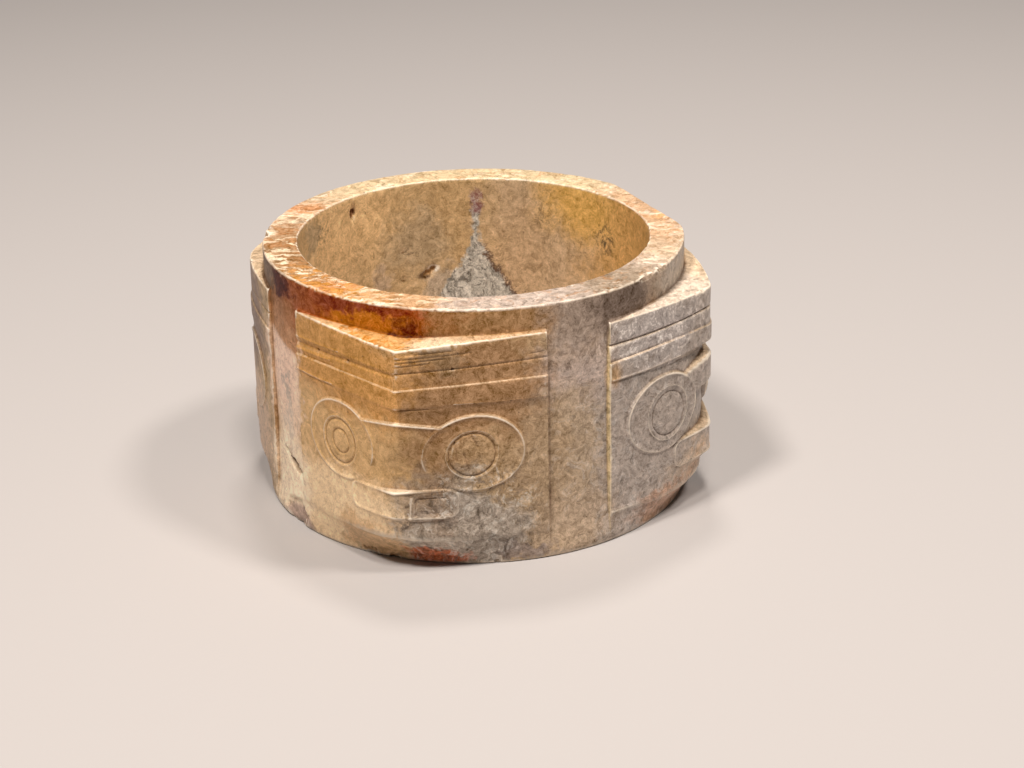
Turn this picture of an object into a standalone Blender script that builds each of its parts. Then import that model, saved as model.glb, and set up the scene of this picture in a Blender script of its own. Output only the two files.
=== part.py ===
"""Jade cong: a short tube, round inside, in a squared block whose four corners carry a carved mask.

Sizes are in millimetres and MM turns them to metres. +Z is up and the origin is the middle of the underside.
The four bare strips face along X and Y, and the carved corners point between them. Depths are measured down
from the rim, and places along a side are measured along its bowed face from the middle of the side.
"""
from math import atan2, cos, pi, radians, sin, sqrt

import bmesh
import bpy
from mathutils import Matrix

MM = 0.001
MERGE = 0.00001
SHARP_ANGLE = 20.0

# The tube. The flare lists heights above the underside, each with the growth in radius there
HEIGHT = 79.0
COLLAR_RADIUS = 64.0
BORE_RADIUS = 53.4
EDGE_WEAR = 0.7
FLARE = [(30.0, 0.0), (10.0, 0.3), (2.5, 1.5)]
ROUND_STEPS = 96

# The worn flat on the +X side of the upper collar
FLAT_AZIMUTH = -3.5
FLAT_DISTANCE = 60.2
FLAT_TILT = 12.0

# The block: each side is one bowed face, an arc whose centre lies beyond the axis
SIDE_RADIUS = 119.2
SIDE_SETBACK = 54.2
SIDE_STEPS = 18
CORNER_STEPS = 5
STRIP_HALF_WIDTH = 10.35
LEDGE_DEPTH_INSIDE = 8.9
LEDGE_DEPTH_OUTSIDE = 10.0
PANEL_FOOT_DEPTH = 69.8

# Steps of the carving: how far each level lies inside the outermost face, and how its corners are rounded.
# Corners go round from the +X+Y one, and the second is the most worn.
RAISED_INSET = 0.1
UPPER_BAND_INSET = 0.35
GROOVE_INSET = 0.75
GROUND_INSET = 0.65
NOSE_INSET = -0.3
RAISED_ROUNDINGS = (8.0, 36.0, 2.5, 8.0)
GROUND_ROUNDINGS = (30.0, 46.0, 30.0, 30.0)
NOSE_ROUNDINGS = (5.0, 30.0, 1.5, 5.0)
UPPER_BAND_FOOT = 16.2
MIDDLE_BAND_TOP = 17.2
LOWER_BAND_TOP = 21.7
LOWER_BAND_FOOT = 27.3

# The mask on each corner
EYE_PLACE = 32.3
EYE_DEPTH = 42.6
EYE_HALF_WIDTH = 14.8
EYE_HALF_HEIGHT = 12.4
PUPIL_PLACE = 32.8
PUPIL_RADIUS = 7.0
DRILL_WIDTH = 0.8
DRILL_DEPTH = 0.6
BRIDGE_HALF_WIDTH = 14.0
BRIDGE_TOP = (31.2, 34.4)
BRIDGE_FOOT = (41.3, 43.2)
NOSE_HALF_WIDTH = 16.6
NOSE_TOP = 53.4
NOSE_FOOT = 63.0
NOSE_END_RADIUS = 3.2
EYES_SPAN = (28.0, 58.0)
NOSE_SPAN = (50.0, 66.0)
STAMP_INWARD = -12.0
STAMP_OUTWARD = 6.0

FOOT_RADIUS = COLLAR_RADIUS + FLARE[-1][1]
FOOT_HEIGHT = FLARE[-1][0]
OVERLAP = 0.3
SIDES = [k * pi / 2 for k in range(4)]
CORNERS = [side + pi / 4 for side in SIDES]


def height_at(depth):
    """Height above the underside of a level given by its depth below the rim."""
    return HEIGHT - depth


def clear_scene():
    for item in list(bpy.data.objects):
        bpy.data.objects.remove(item)


def new_collection(name):
    group = bpy.data.collections.new(name)
    bpy.context.scene.collection.children.link(group)
    return group


def jade_material():
    jade = bpy.data.materials.new("jade")
    jade.use_nodes = True
    shader = jade.node_tree.nodes["Principled BSDF"]
    shader.inputs["Base Color"].default_value = (0.42, 0.27, 0.13, 1.0)
    shader.inputs["Roughness"].default_value = 0.38
    shader.inputs["Metallic"].default_value = 0.0
    return jade


def facing_out(azimuth, distance, height, setback=0.0, side=0.0):
    """Frame on the stone: X runs round it, Y runs up and Z points out along the azimuth.

    The distance counts from the axis, or from a point that lies the setback beyond it from the given side.
    """
    x = distance * cos(azimuth) - setback * cos(side)
    y = distance * sin(azimuth) - setback * sin(side)
    frame = Matrix(((-sin(azimuth), 0, cos(azimuth)), (cos(azimuth), 0, sin(azimuth)), (0, 1, 0)))
    return Matrix.Translation((x * MM, y * MM, height * MM)) @ frame.to_4x4()


def turned(name, profile, steps, group):
    """Ring turned about Z from a closed profile of (radius, height) that runs down its outer side."""
    mesh = bpy.data.meshes.new(name)
    count = len(profile)
    mesh.from_pydata(
        [(radius * MM, 0, height * MM) for radius, height in profile],
        [(k, (k + 1) % count) for k in range(count)],
        [],
    )
    ring = bpy.data.objects.new(name, mesh)
    group.objects.link(ring)
    screw = ring.modifiers.new("Turn", "SCREW")
    screw.steps = screw.render_steps = steps
    screw.use_merge_vertices = True
    screw.merge_threshold = MERGE
    return ring


def extruded(name, outline, low, high, group, frame=Matrix()):
    """Prism of a flat outline, from the low to the high level along the frame's Z."""
    curve = bpy.data.curves.new(name, "CURVE")
    curve.dimensions = "2D"
    curve.fill_mode = "BOTH"
    curve.extrude = (high - low) / 2 * MM
    spline = curve.splines.new("POLY")
    spline.points.add(len(outline) - 1)
    for point, (x, y) in zip(spline.points, outline):
        point.co = (x * MM, y * MM, 0, 1)
    spline.use_cyclic_u = True
    flat = bpy.data.objects.new(name + "_outline", curve)
    group.objects.link(flat)
    mesh = bpy.data.meshes.new_from_object(flat.evaluated_get(bpy.context.evaluated_depsgraph_get()))
    bpy.data.objects.remove(flat)
    weld_and_flatten(mesh)
    prism = bpy.data.objects.new(name, mesh)
    prism.matrix_world = frame @ Matrix.Translation((0, 0, (low + high) / 2 * MM))
    group.objects.link(prism)
    return prism


def weld_and_flatten(mesh):
    """Joins a prism's loose caps to its wall, and makes each cap one face."""
    shape = bmesh.new()
    shape.from_mesh(mesh)
    bmesh.ops.remove_doubles(shape, verts=shape.verts, dist=MERGE)
    bmesh.ops.dissolve_limit(shape, angle_limit=radians(0.2), verts=shape.verts, edges=shape.edges)
    bmesh.ops.recalc_face_normals(shape, faces=shape.faces)
    shape.to_mesh(mesh)
    shape.free()


def combine(stone, operation, other):
    step = stone.modifiers.new(operation.title() + " " + other.name, "BOOLEAN")
    step.operation = operation
    step.solver = "EXACT"
    step.object = other


def corner_arc(inset, rounding):
    """Centre of a corner's rounding, as one number for X and Y alike, and how far round the side meets it."""
    reach = SIDE_RADIUS - inset - rounding
    centre = (sqrt(2 * reach**2 - SIDE_SETBACK**2) - SIDE_SETBACK) / 2
    return centre, atan2(centre, centre + SIDE_SETBACK)


def corner_reach(inset, rounding):
    """Distance from the axis to a rounded corner of the block's plan."""
    return corner_arc(inset, rounding)[0] * sqrt(2) + rounding


def block_outline(inset, roundings):
    """Plan of the block: four bowed sides that meet in corners, each rounded to its own radius."""
    radius = SIDE_RADIUS - inset
    outline = []
    for k, side in enumerate(SIDES):
        rounding = roundings[k]
        start = -corner_arc(inset, roundings[k - 1])[1]
        centre, end = corner_arc(inset, rounding)
        quarter = []
        for step in range(SIDE_STEPS):
            angle = start + (end - start) * step / SIDE_STEPS
            quarter.append((radius * cos(angle) - SIDE_SETBACK, radius * sin(angle)))
        for step in range(CORNER_STEPS):
            angle = end + (pi / 2 - 2 * end) * step / CORNER_STEPS
            quarter.append((centre + rounding * cos(angle), centre + rounding * sin(angle)))
        outline += [(x * cos(side) - y * sin(side), x * sin(side) + y * cos(side)) for x, y in quarter]
    return outline


def slab(name, top_depth, foot_depth, inset, roundings, group):
    """Layer of the block between two depths."""
    outline = block_outline(inset, roundings)
    return extruded(name, outline, height_at(foot_depth), height_at(top_depth), group)


def make_tube(parts, cutters):
    """The tube with its collars: straight outside, flaring a little at the foot, with a straight bore."""
    profile = [
        (COLLAR_RADIUS - EDGE_WEAR, HEIGHT),
        (COLLAR_RADIUS, HEIGHT - EDGE_WEAR),
        *[(COLLAR_RADIUS + growth, height) for height, growth in FLARE],
        (FOOT_RADIUS - EDGE_WEAR, 0.0),
        (BORE_RADIUS + EDGE_WEAR, 0.0),
        (BORE_RADIUS, EDGE_WEAR),
        (BORE_RADIUS, HEIGHT - EDGE_WEAR),
        (BORE_RADIUS + EDGE_WEAR, HEIGHT),
    ]
    tube = turned("jade_cong", profile, ROUND_STEPS, parts)
    combine(tube, "DIFFERENCE", make_worn_flat(cutters))
    return tube


def make_worn_flat(cutters):
    """Square block that takes the worn flat off the collar: deepest at the rim, fading out below."""
    half_width, half_height, thickness = 40.0, 25.0, 20.0
    corners = [(-1, -1), (1, -1), (1, 1), (-1, 1)]
    outline = [(x * half_width, y * half_height) for x, y in corners]
    tilt = Matrix.Rotation(radians(FLAT_TILT), 4, "X")
    frame = facing_out(radians(FLAT_AZIMUTH), FLAT_DISTANCE, HEIGHT) @ tilt
    return extruded("flat_cutter", outline, 0, thickness, cutters, frame)


def make_envelope(cutters):
    """Turned limit of the block: a ledge that falls outwards above, and a slope that runs in below."""
    band_reach = corner_reach(0.0, RAISED_ROUNDINGS[0])
    ground_reach = corner_reach(GROUND_INSET, GROUND_ROUNDINGS[0])
    ledge_fall = (LEDGE_DEPTH_OUTSIDE - LEDGE_DEPTH_INSIDE) / (band_reach - COLLAR_RADIUS)
    undercut = (ground_reach - FOOT_RADIUS) / (height_at(PANEL_FOOT_DEPTH) - FOOT_HEIGHT)
    inside = COLLAR_RADIUS - 4.0
    outside = COLLAR_RADIUS + 20.0
    profile = [
        (inside, height_at(LEDGE_DEPTH_INSIDE) + (COLLAR_RADIUS - inside) * ledge_fall),
        (outside, height_at(LEDGE_DEPTH_INSIDE) + (COLLAR_RADIUS - outside) * ledge_fall),
        (outside, FOOT_HEIGHT + (outside - FOOT_RADIUS) / undercut),
        (FOOT_RADIUS - OVERLAP, FOOT_HEIGHT - OVERLAP / undercut),
        (inside, FOOT_HEIGHT - OVERLAP / undercut),
    ]
    return turned("envelope", profile, ROUND_STEPS, cutters)


def oval(half_width, half_height, steps=32):
    angles = [2 * pi * k / steps for k in range(steps)]
    return [(half_width * cos(angle), half_height * sin(angle)) for angle in angles]


def rounded_bar(half_width, half_height, rounding, steps=4):
    """Rectangle with round corners, centred on the origin."""
    points = []
    for k, (x, y) in enumerate([(1, 1), (-1, 1), (-1, -1), (1, -1)]):
        for step in range(steps + 1):
            angle = (k + step / steps) * pi / 2
            points.append(
                (
                    x * (half_width - rounding) + rounding * cos(angle),
                    y * (half_height - rounding) + rounding * sin(angle),
                )
            )
    return points


def eye_stamps(cutters):
    """Oval prisms that mark out the eyes, two to each corner."""
    outline = oval(EYE_HALF_WIDTH, EYE_HALF_HEIGHT)
    stamps = []
    for k, side in enumerate(SIDES):
        for hand in (-1, 1):
            azimuth = side + hand * EYE_PLACE / SIDE_RADIUS
            frame = facing_out(azimuth, SIDE_RADIUS, height_at(EYE_DEPTH), SIDE_SETBACK, side)
            stamps.append(extruded(f"eye_{k}_{hand}", outline, STAMP_INWARD, STAMP_OUTWARD, cutters, frame))
    return stamps


def corner_stamps(name, outline, depth, cutters):
    """Prisms that mark out one bar of the mask across each corner."""
    reach = corner_reach(0.0, RAISED_ROUNDINGS[0])
    stamps = []
    for k, corner in enumerate(CORNERS):
        frame = facing_out(corner, reach, height_at(depth))
        stamps.append(extruded(f"{name}_{k}", outline, STAMP_INWARD, STAMP_OUTWARD, cutters, frame))
    return stamps


def bridge_stamps(cutters):
    """The bridge is a bar that droops a little from the corner to the eyes."""
    outline = []
    for hand, (middle, end) in ((1, BRIDGE_TOP), (-1, BRIDGE_FOOT)):
        outline += [(hand * BRIDGE_HALF_WIDTH, -end), (0, -middle), (-hand * BRIDGE_HALF_WIDTH, -end)]
    return corner_stamps("bridge", outline, 0, cutters)


def nose_stamps(cutters):
    outline = rounded_bar(NOSE_HALF_WIDTH, (NOSE_FOOT - NOSE_TOP) / 2, NOSE_END_RADIUS)
    return corner_stamps("nose", outline, (NOSE_TOP + NOSE_FOOT) / 2, cutters)


def stamped_skin(name, span, inset, roundings, stamps, cutters):
    """What stands up on the mask: the outer skin of the block wherever a stamp marks it."""
    for stamp in stamps[1:]:
        combine(stamps[0], "UNION", stamp)
    skin = slab(name, *span, inset, roundings, cutters)
    combine(skin, "INTERSECT", stamps[0])
    return skin


def make_strips(cutters):
    """Two crossed bars that clear the four bare strips out of the block."""
    length = 100.0
    outline = [(x * length, y * STRIP_HALF_WIDTH) for x, y in [(-1, -1), (1, -1), (1, 1), (-1, 1)]]
    bars = []
    for k, side in enumerate(SIDES[:2]):
        bars.append(extruded(f"strip_{k}", outline, -5, HEIGHT + 5, cutters, Matrix.Rotation(side, 4, "Z")))
    return bars


def make_block(cutters):
    """The squared block: its ground, the three bands above the mask, and the mask itself.

    The layers run past each other and past the envelope, so that no two faces lie in one plane.
    """
    block = slab("block", LEDGE_DEPTH_INSIDE - 3, HEIGHT + 3, GROUND_INSET, GROUND_ROUNDINGS, cutters)
    layers = [
        ("band_core", LEDGE_DEPTH_INSIDE - 4, LOWER_BAND_FOOT - OVERLAP, GROOVE_INSET),
        ("band_upper", LEDGE_DEPTH_INSIDE - 5, UPPER_BAND_FOOT, UPPER_BAND_INSET),
        ("band_middle", MIDDLE_BAND_TOP, LOWER_BAND_TOP + OVERLAP, UPPER_BAND_INSET),
        ("band_lower", LOWER_BAND_TOP, LOWER_BAND_FOOT, 0.0),
    ]
    for name, top_depth, foot_depth, inset in layers:
        combine(block, "UNION", slab(name, top_depth, foot_depth, inset, RAISED_ROUNDINGS, cutters))
    eyes = eye_stamps(cutters) + bridge_stamps(cutters)
    combine(block, "UNION", stamped_skin("face", EYES_SPAN, RAISED_INSET, RAISED_ROUNDINGS, eyes, cutters))
    noses = nose_stamps(cutters)
    combine(block, "UNION", stamped_skin("noses", NOSE_SPAN, NOSE_INSET, NOSE_ROUNDINGS, noses, cutters))
    combine(block, "INTERSECT", make_envelope(cutters))
    for bar in make_strips(cutters):
        combine(block, "DIFFERENCE", bar)
    return block


def cut_pupils(stone, cutters):
    """The round pupils, each a ring cut with a tube drill."""
    for k, side in enumerate(SIDES):
        for hand in (-1, 1):
            profile = [
                (PUPIL_RADIUS + DRILL_WIDTH / 2, 6.0),
                (PUPIL_RADIUS + DRILL_WIDTH / 2, -DRILL_DEPTH),
                (PUPIL_RADIUS - DRILL_WIDTH / 2, -DRILL_DEPTH),
                (PUPIL_RADIUS - DRILL_WIDTH / 2, 6.0),
            ]
            drill = turned(f"drill_{k}_{hand}", profile, 32, cutters)
            azimuth = side + hand * PUPIL_PLACE / SIDE_RADIUS
            surface = SIDE_RADIUS - RAISED_INSET
            drill.matrix_world = facing_out(azimuth, surface, height_at(EYE_DEPTH), SIDE_SETBACK, side)
            combine(stone, "DIFFERENCE", drill)


def finish_solid(cong):
    """Applies the steps above, joins faces that lie in one plane and shades the curved faces smooth."""
    mesh = bpy.data.meshes.new_from_object(cong.evaluated_get(bpy.context.evaluated_depsgraph_get()))
    cong.modifiers.clear()
    cong.data = mesh
    mesh.name = cong.name
    weld_and_flatten(mesh)
    mesh.shade_smooth()
    mesh.set_sharp_from_angle(angle=radians(SHARP_ANGLE))


def main():
    clear_scene()
    parts = new_collection("jade cong")
    cutters = new_collection("cutters")
    cong = make_tube(parts, cutters)
    combine(cong, "UNION", make_block(cutters))
    cut_pupils(cong, cutters)
    finish_solid(cong)
    cong.data.materials.append(jade_material())
    for item in cutters.objects:
        item.hide_render = True
        item.display_type = "WIRE"


main()
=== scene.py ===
"""Jade cong: the carved and worn surface of the stone, its colours, and a plain studio around it.

Sizes are in millimetres and angles in degrees unless a name says otherwise. A depth is measured down from the
rim, and a place runs along the bowed face of a side, from the middle of the side towards the corner.
"""
from math import atan2, cos, pi, radians, sin, sqrt
from types import SimpleNamespace

import bpy
import numpy as np
from mathutils import Matrix, Vector


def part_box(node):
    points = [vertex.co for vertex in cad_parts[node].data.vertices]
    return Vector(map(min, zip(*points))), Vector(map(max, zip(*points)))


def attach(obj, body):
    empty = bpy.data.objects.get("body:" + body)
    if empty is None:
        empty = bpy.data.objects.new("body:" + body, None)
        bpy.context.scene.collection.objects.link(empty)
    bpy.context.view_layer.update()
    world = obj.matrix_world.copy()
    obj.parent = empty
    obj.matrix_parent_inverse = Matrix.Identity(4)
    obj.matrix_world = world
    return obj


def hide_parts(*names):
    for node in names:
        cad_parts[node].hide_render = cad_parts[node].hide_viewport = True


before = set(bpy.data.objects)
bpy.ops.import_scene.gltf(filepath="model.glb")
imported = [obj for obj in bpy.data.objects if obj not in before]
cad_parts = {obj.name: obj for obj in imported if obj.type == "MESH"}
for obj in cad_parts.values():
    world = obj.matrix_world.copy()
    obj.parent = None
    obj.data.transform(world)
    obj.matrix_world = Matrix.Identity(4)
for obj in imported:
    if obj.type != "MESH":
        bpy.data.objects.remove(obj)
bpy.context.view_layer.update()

MM = 0.001
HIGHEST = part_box("jade_cong")[1]

# The tube, which flares at its foot
FLARE_HEIGHTS = (0.0, 0.25, 0.7, 2.5, 4.5, 7.0, 10.0, 14.0, 20.0, 30.0)
FLARE_GROWTH = (0.8, 1.15, 1.4, 1.5, 1.15, 0.75, 0.42, 0.22, 0.08, 0.0)
TUBE_WALL = 10.6
HEIGHT = HIGHEST.z / MM
FOOT_RADIUS = HIGHEST.x / MM
COLLAR_RADIUS = FOOT_RADIUS - max(FLARE_GROWTH)
BORE_RADIUS = COLLAR_RADIUS - TUBE_WALL
EDGE = 0.7
FLAT_AZIMUTH = -3.5
FLAT_DISTANCE = 60.2
FLAT_FALL = 0.21

# The block around it
SIDE_RADIUS = 119.2
SIDE_SETBACK = 54.2
CORNER_PLACE = 54.6
STRIP_HALF_WIDTH = 10.2
LEDGE_INNER_DEPTH = 8.9
LEDGE_FALL = 0.45
WALL_TOP_DEPTH = 10.7
PANEL_FOOT_DEPTH = 69.8
UNDERCUT_HEIGHT = 2.5
UNDERCUT_START = 0.1
FOOT_STEP = 0.25
LEDGE_ROUND = 0.65
BAND_STEP = 0.45
CORNER_ROUNDINGS = (8.0, 36.0, 2.5, 8.0)

# In the carving's layout: depth of the walls' rounded top, how far the undercut runs and the foot's depth
WALL_EDGE_LAID = 10
UNDERCUT_RUN = 6.7
FOOT_LAID = 78

# Where the skin's columns and rows stand: each stretch's start and the step along it, or how many there are
COLUMN_STEPS = ((0.0, 1.5), (9.4, 0.2), (11.0, 0.6), (16.0, 0.4), (49.0, 0.42), (CORNER_PLACE, 0))
WALL_STEPS = ((WALL_TOP_DEPTH, 0.22), (28.8, 0.38), (52.0, 0.3), (54.6, 0.42), (PANEL_FOOT_DEPTH - 1.2, 0))
BORE_STEP = 1.1
EDGE_ROWS = 4
RIM_ROWS = 10
COLLAR_ROWS = 13
LEDGE_ROWS = 10
WALL_EDGE_ROWS = 3
UNDERCUT_ROWS = 14
FOOT_ROW_HEIGHTS = (1.6, 0.7, 0.25)
UNDERSIDE_ROWS = 8
MOST_TRIANGLES = 190_000

# The carving, as it was laid out on every corner
LINE_DEPTHS = (9.0, 16.5, 21.5, 27.5, 42.6, 53.4, 69.8)
EYE_PLACE = 32.2
EYE_DEPTH = 42.6
EYE_HALF_WIDTH = 14.9
EYE_HALF_HEIGHT = 12.0
BRIDGE_DEPTH = 31.3
NOSE_DEPTH = 57.9
NOSE_HALF_WIDTH = 18.0
NOSE_HALF_HEIGHT = 4.6
NOSE_END = 3.2

# How far down the hand-cut lines really lie: the ledge's edge, groove, ridge, lower line, eye, nose and foot.
# Panels are numbered round the block from the middle of the +X side, two to a corner, and corners from the
# +X +Y one.
HIDDEN = (9.3, 16.6, 21.6, 27.5, 42.6, 53.4, 69.8)
LINES_AT_STRIP = (
    HIDDEN,
    (9.1, 16.3, 21.4, 27.4, 42.6, 53.4, 69.8),
    (9.2, 16.4, 21.6, 27.6, 42.7, 53.5, 69.8),
    (9.0, 16.6, 21.8, 27.6, 42.6, 53.4, 69.8),
    (8.9, 16.5, 22.1, 27.6, 42.6, 53.4, 69.8),
    (8.0, 15.4, 21.1, 27.6, 42.6, 53.4, 69.8),
    (9.5, 16.6, 22.3, 28.0, 43.8, 54.4, 71.0),
    HIDDEN,
)
LINES_AT_MIDDLE = (
    HIDDEN,
    (9.0, 16.2, 21.2, 27.2, 42.6, 53.4, 69.8),
    (9.0, 16.3, 21.3, 27.2, 42.6, 53.4, 69.8),
    (8.8, 16.3, 21.2, 27.2, 42.6, 53.4, 69.6),
    (8.4, 16.0, 20.6, 26.8, 42.6, 53.3, 69.2),
    (8.0, 15.5, 20.6, 26.8, 42.5, 52.6, 69.4),
    (9.6, 16.4, 21.4, 27.8, 43.7, 54.6, 71.0),
    HIDDEN,
)
LINES_AT_CORNER = (
    (9.8, 16.5, 21.6, 27.5, 42.6, 53.4, 69.8),
    (9.8, 16.5, 21.6, 27.5, 42.6, 53.4, 69.8),
    (9.5, 16.4, 21.4, 27.6, 42.2, 53.0, 68.4),
    (10.2, 16.2, 22.1, 27.5, 43.3, 55.0, 70.4),
)

# The ground round each corner: how deep it is cut, how widely, what share of that it has at the brow, and the
# depth by which it has all of it
CORNER_GROUNDS = (2.4, 2.3, 1.9, 3.4)
CORNER_SPREADS = (1.2, 1.1, 0.8, 2.1)
BROW_RECESSES = (0.8, 0.6, 0.12, 0.85)
RECESS_ENDS = (36, 36, 52, 36)

# On each panel: how much of the groove is left, and how far the eye lies towards the bare strip
GROOVES_LEFT = (1.0, 1.0, 1.0, 1.0, 0.0, 0.6, 1.6, 1.0)
EYE_SHIFTS = (0, 0.3, 0.2, 0.2, 0.2, -0.2, 1.0, 0.2)

# The corner and the panels in front, and how far the front corner's edge has turned where it ends
FRONT_CORNER = 2
FRONT_LEAN = radians(-1.5)
FRONT_LEFT, FRONT_RIGHT, RIGHT, FAR_LEFT = 4, 5, 6, 3


def linear(code):
    """Turns an sRGB hex colour to the linear one that shaders take."""
    channels = [int(code[k : k + 2], 16) / 255 for k in (1, 3, 5)]
    return tuple(c / 12.92 if c <= 0.04045 else ((c + 0.055) / 1.055) ** 2.4 for c in channels) + (1.0,)


def add(tree, kind, feeds=None, **settings):
    """Adds a node with its settings, and sets or links what feeds its sockets. Gives its first output in use.
    A kind whose name starts with ShaderNode is named without that."""
    node = tree.nodes.new(kind if "Node" in kind else "ShaderNode" + kind)
    for name, value in settings.items():
        setattr(node, name, value)
    for socket, value in (feeds or {}).items():
        if isinstance(value, bpy.types.NodeSocket):
            tree.links.new(value, node.inputs[socket])
        else:
            node.inputs[socket].default_value = value
    return next((output for output in node.outputs if output.enabled), None)


def smooth(value, low, high):
    t = np.clip((value - low) / (high - low), 0, 1)
    return t * t * (3 - 2 * t)


# The skin: the uncarved stone, as rows that run up the bore, over the rim, down the outside and back below


def stretches(marks):
    """Places from the first mark to just before the last, each stretch in equal steps of about its size."""
    runs = []
    for (start, step), (end, _) in zip(marks, marks[1:]):
        runs.append(np.linspace(start, end, max(1, round((end - start) / step)), endpoint=False))
    return np.concatenate(runs)


def quarter_round(count, start=0):
    """Steps round an edge: how far each goes across and down, from 0 to 1."""
    return [(sin(angle), 1 - cos(angle)) for angle in np.linspace(0, pi / 2, count + 1)[start:]]


def side_point(place, inset=0.0):
    """Azimuth from a side's middle, in radians, and distance from the axis, of a place on its bowed face."""
    turn = place / SIDE_RADIUS
    ahead = (SIDE_RADIUS - inset) * np.cos(turn) - SIDE_SETBACK
    across = (SIDE_RADIUS - inset) * np.sin(turn)
    return np.arctan2(across, ahead), np.hypot(across, ahead)


def on_panel(panel, place, depth, inset=0.0):
    """Point on a panel, in millimetres."""
    across, reach = side_point(place, inset)
    side, way = divmod(panel, 2)
    azimuth = (side + way) * pi / 2 + (across if way == 0 else -across)
    return Vector((reach * cos(azimuth), reach * sin(azimuth), HEIGHT - depth))


def on_tube(azimuth, depth, radius=None):
    """Point at an azimuth and depth on the tube, in millimetres."""
    radius = radius or COLLAR_RADIUS
    return Vector((radius * cos(radians(azimuth)), radius * sin(radians(azimuth)), HEIGHT - depth))


def corner_arc(rounding):
    """Distance of a corner rounding's centre from the axis, and the azimuth from the corner where it ends."""
    reach = SIDE_RADIUS - rounding
    centre = (sqrt(2 * reach**2 - SIDE_SETBACK**2) - SIDE_SETBACK) / 2
    turn = atan2(centre, centre + SIDE_SETBACK)
    end = atan2(SIDE_RADIUS * sin(turn), SIDE_RADIUS * cos(turn) - SIDE_SETBACK)
    return centre * sqrt(2), pi / 4 - end


def block_reach(azimuth):
    """Distance from the axis to the block's uncarved outline."""
    off_side = (azimuth + pi / 4) % (pi / 2) - pi / 4
    reach = np.sqrt(SIDE_RADIUS**2 - (SIDE_SETBACK * np.sin(off_side)) ** 2) - SIDE_SETBACK * np.cos(off_side)
    for k, rounding in enumerate(CORNER_ROUNDINGS):
        centre, end = corner_arc(rounding)
        off = (azimuth - (pi / 4 + k * pi / 2) + pi) % (2 * pi) - pi
        across = np.clip(centre * np.sin(off), -rounding, rounding)
        arc = centre * np.cos(off) + np.sqrt(rounding**2 - across**2)
        reach = np.where(np.abs(off) < end, arc, reach)
    return reach


def tube_radius(azimuth, height):
    """Outer radius of the tube, with its flared foot and the flat that is worn into its +X side."""
    radius = COLLAR_RADIUS + np.interp(height, FLARE_HEIGHTS, FLARE_GROWTH)
    facing = np.maximum(np.cos(azimuth - radians(FLAT_AZIMUTH)), 0.2)
    flat = (FLAT_DISTANCE + FLAT_FALL * (HEIGHT - height)) / facing
    gap = flat - radius
    return radius + 0.5 * (gap - np.sqrt(gap**2 + 0.5)) * smooth(-gap, -1.5, 0)


class Columns:
    """The skin's columns: where each stands, and how its panel is laid out."""

    def __init__(self):
        half = np.append(stretches(COLUMN_STEPS), CORNER_PLACE)
        signed = np.concatenate([-half[:0:-1], half[:-1]])
        across, _ = side_point(signed)
        sides = np.repeat(np.arange(4), len(signed))
        signed = np.tile(signed, 4)
        self.azimuth = np.tile(across, 4) + sides * pi / 2
        self.place = np.abs(signed)
        self.panel = (2 * sides - (signed < 0)) % 8
        self.corner = self.panel // 2
        self.share = smooth(self.place, STRIP_HALF_WIDTH - 0.2, STRIP_HALF_WIDTH + 0.2)
        self.reach = block_reach(self.azimuth)
        self.brow = np.take(BROW_RECESSES, self.corner)
        self.cutback = np.take(CORNER_GROUNDS, self.corner)
        self.recess_end = np.take(RECESS_ENDS, self.corner)
        self.groove = np.take(GROOVES_LEFT, self.panel)
        self.rubbed = np.where(self.corner == FRONT_CORNER, 1.0, 0.0)
        self.near_corner = CORNER_PLACE - (CORNER_PLACE - self.place) / np.take(CORNER_SPREADS, self.corner)
        middle = smooth(self.place, STRIP_HALF_WIDTH, 18) * (1 - smooth(self.place, 44, CORNER_PLACE))
        self.laid_place = self.place + np.take(EYE_SHIFTS, self.panel) * middle

    def line(self, number):
        """Depth at which a hand-cut line crosses each column."""
        t = np.clip((self.place - STRIP_HALF_WIDTH) / (CORNER_PLACE - STRIP_HALF_WIDTH), 0, 1)
        strip = np.array(LINES_AT_STRIP)[self.panel, number]
        middle = np.array(LINES_AT_MIDDLE)[self.panel, number]
        corner = np.array(LINES_AT_CORNER)[self.corner, number]
        return strip * (1 - t) * (1 - 2 * t) + 4 * middle * t * (1 - t) + corner * t * (2 * t - 1)

    def true_depth(self, depth):
        """Depth where a hand-cut line lies that was laid out at this depth."""
        shifts = [self.line(k) - line for k, line in enumerate(LINE_DEPTHS)]
        upper = np.clip(np.searchsorted(LINE_DEPTHS, depth), 1, len(LINE_DEPTHS) - 1)
        low, high = LINE_DEPTHS[upper - 1], LINE_DEPTHS[upper]
        t = np.clip((depth - low) / (high - low), 0, 1)
        return depth + (shifts[upper - 1] * (1 - t) + shifts[upper] * t) * self.share

    def tube(self, height):
        """Outer radius of the tube at a height."""
        return tube_radius(self.azimuth, height)

    def ledge_height(self):
        """Height where the ledges begin, at the collar."""
        return HEIGHT - np.minimum(LEDGE_INNER_DEPTH, self.line(0) - LEDGE_FALL * self.share)

    def row(self, radius, height, carved=0.0, depth=0.0, outside=0.0, edge=0.0):
        """Row of the skin: radius, height, carved share, laid-out depth, outside or not and edge or not."""
        values = (radius, height, carved * self.share, depth, outside, edge, self.azimuth)
        return np.stack(np.broadcast_arrays(*values))

    def lean(self, height):
        """Turn of each column at a height: the front corner's edge leans as it goes down."""
        near = smooth(self.place, 30, CORNER_PLACE) * (self.corner == FRONT_CORNER)
        return FRONT_LEAN * near * smooth(HEIGHT - height, 8, 62)


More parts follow.
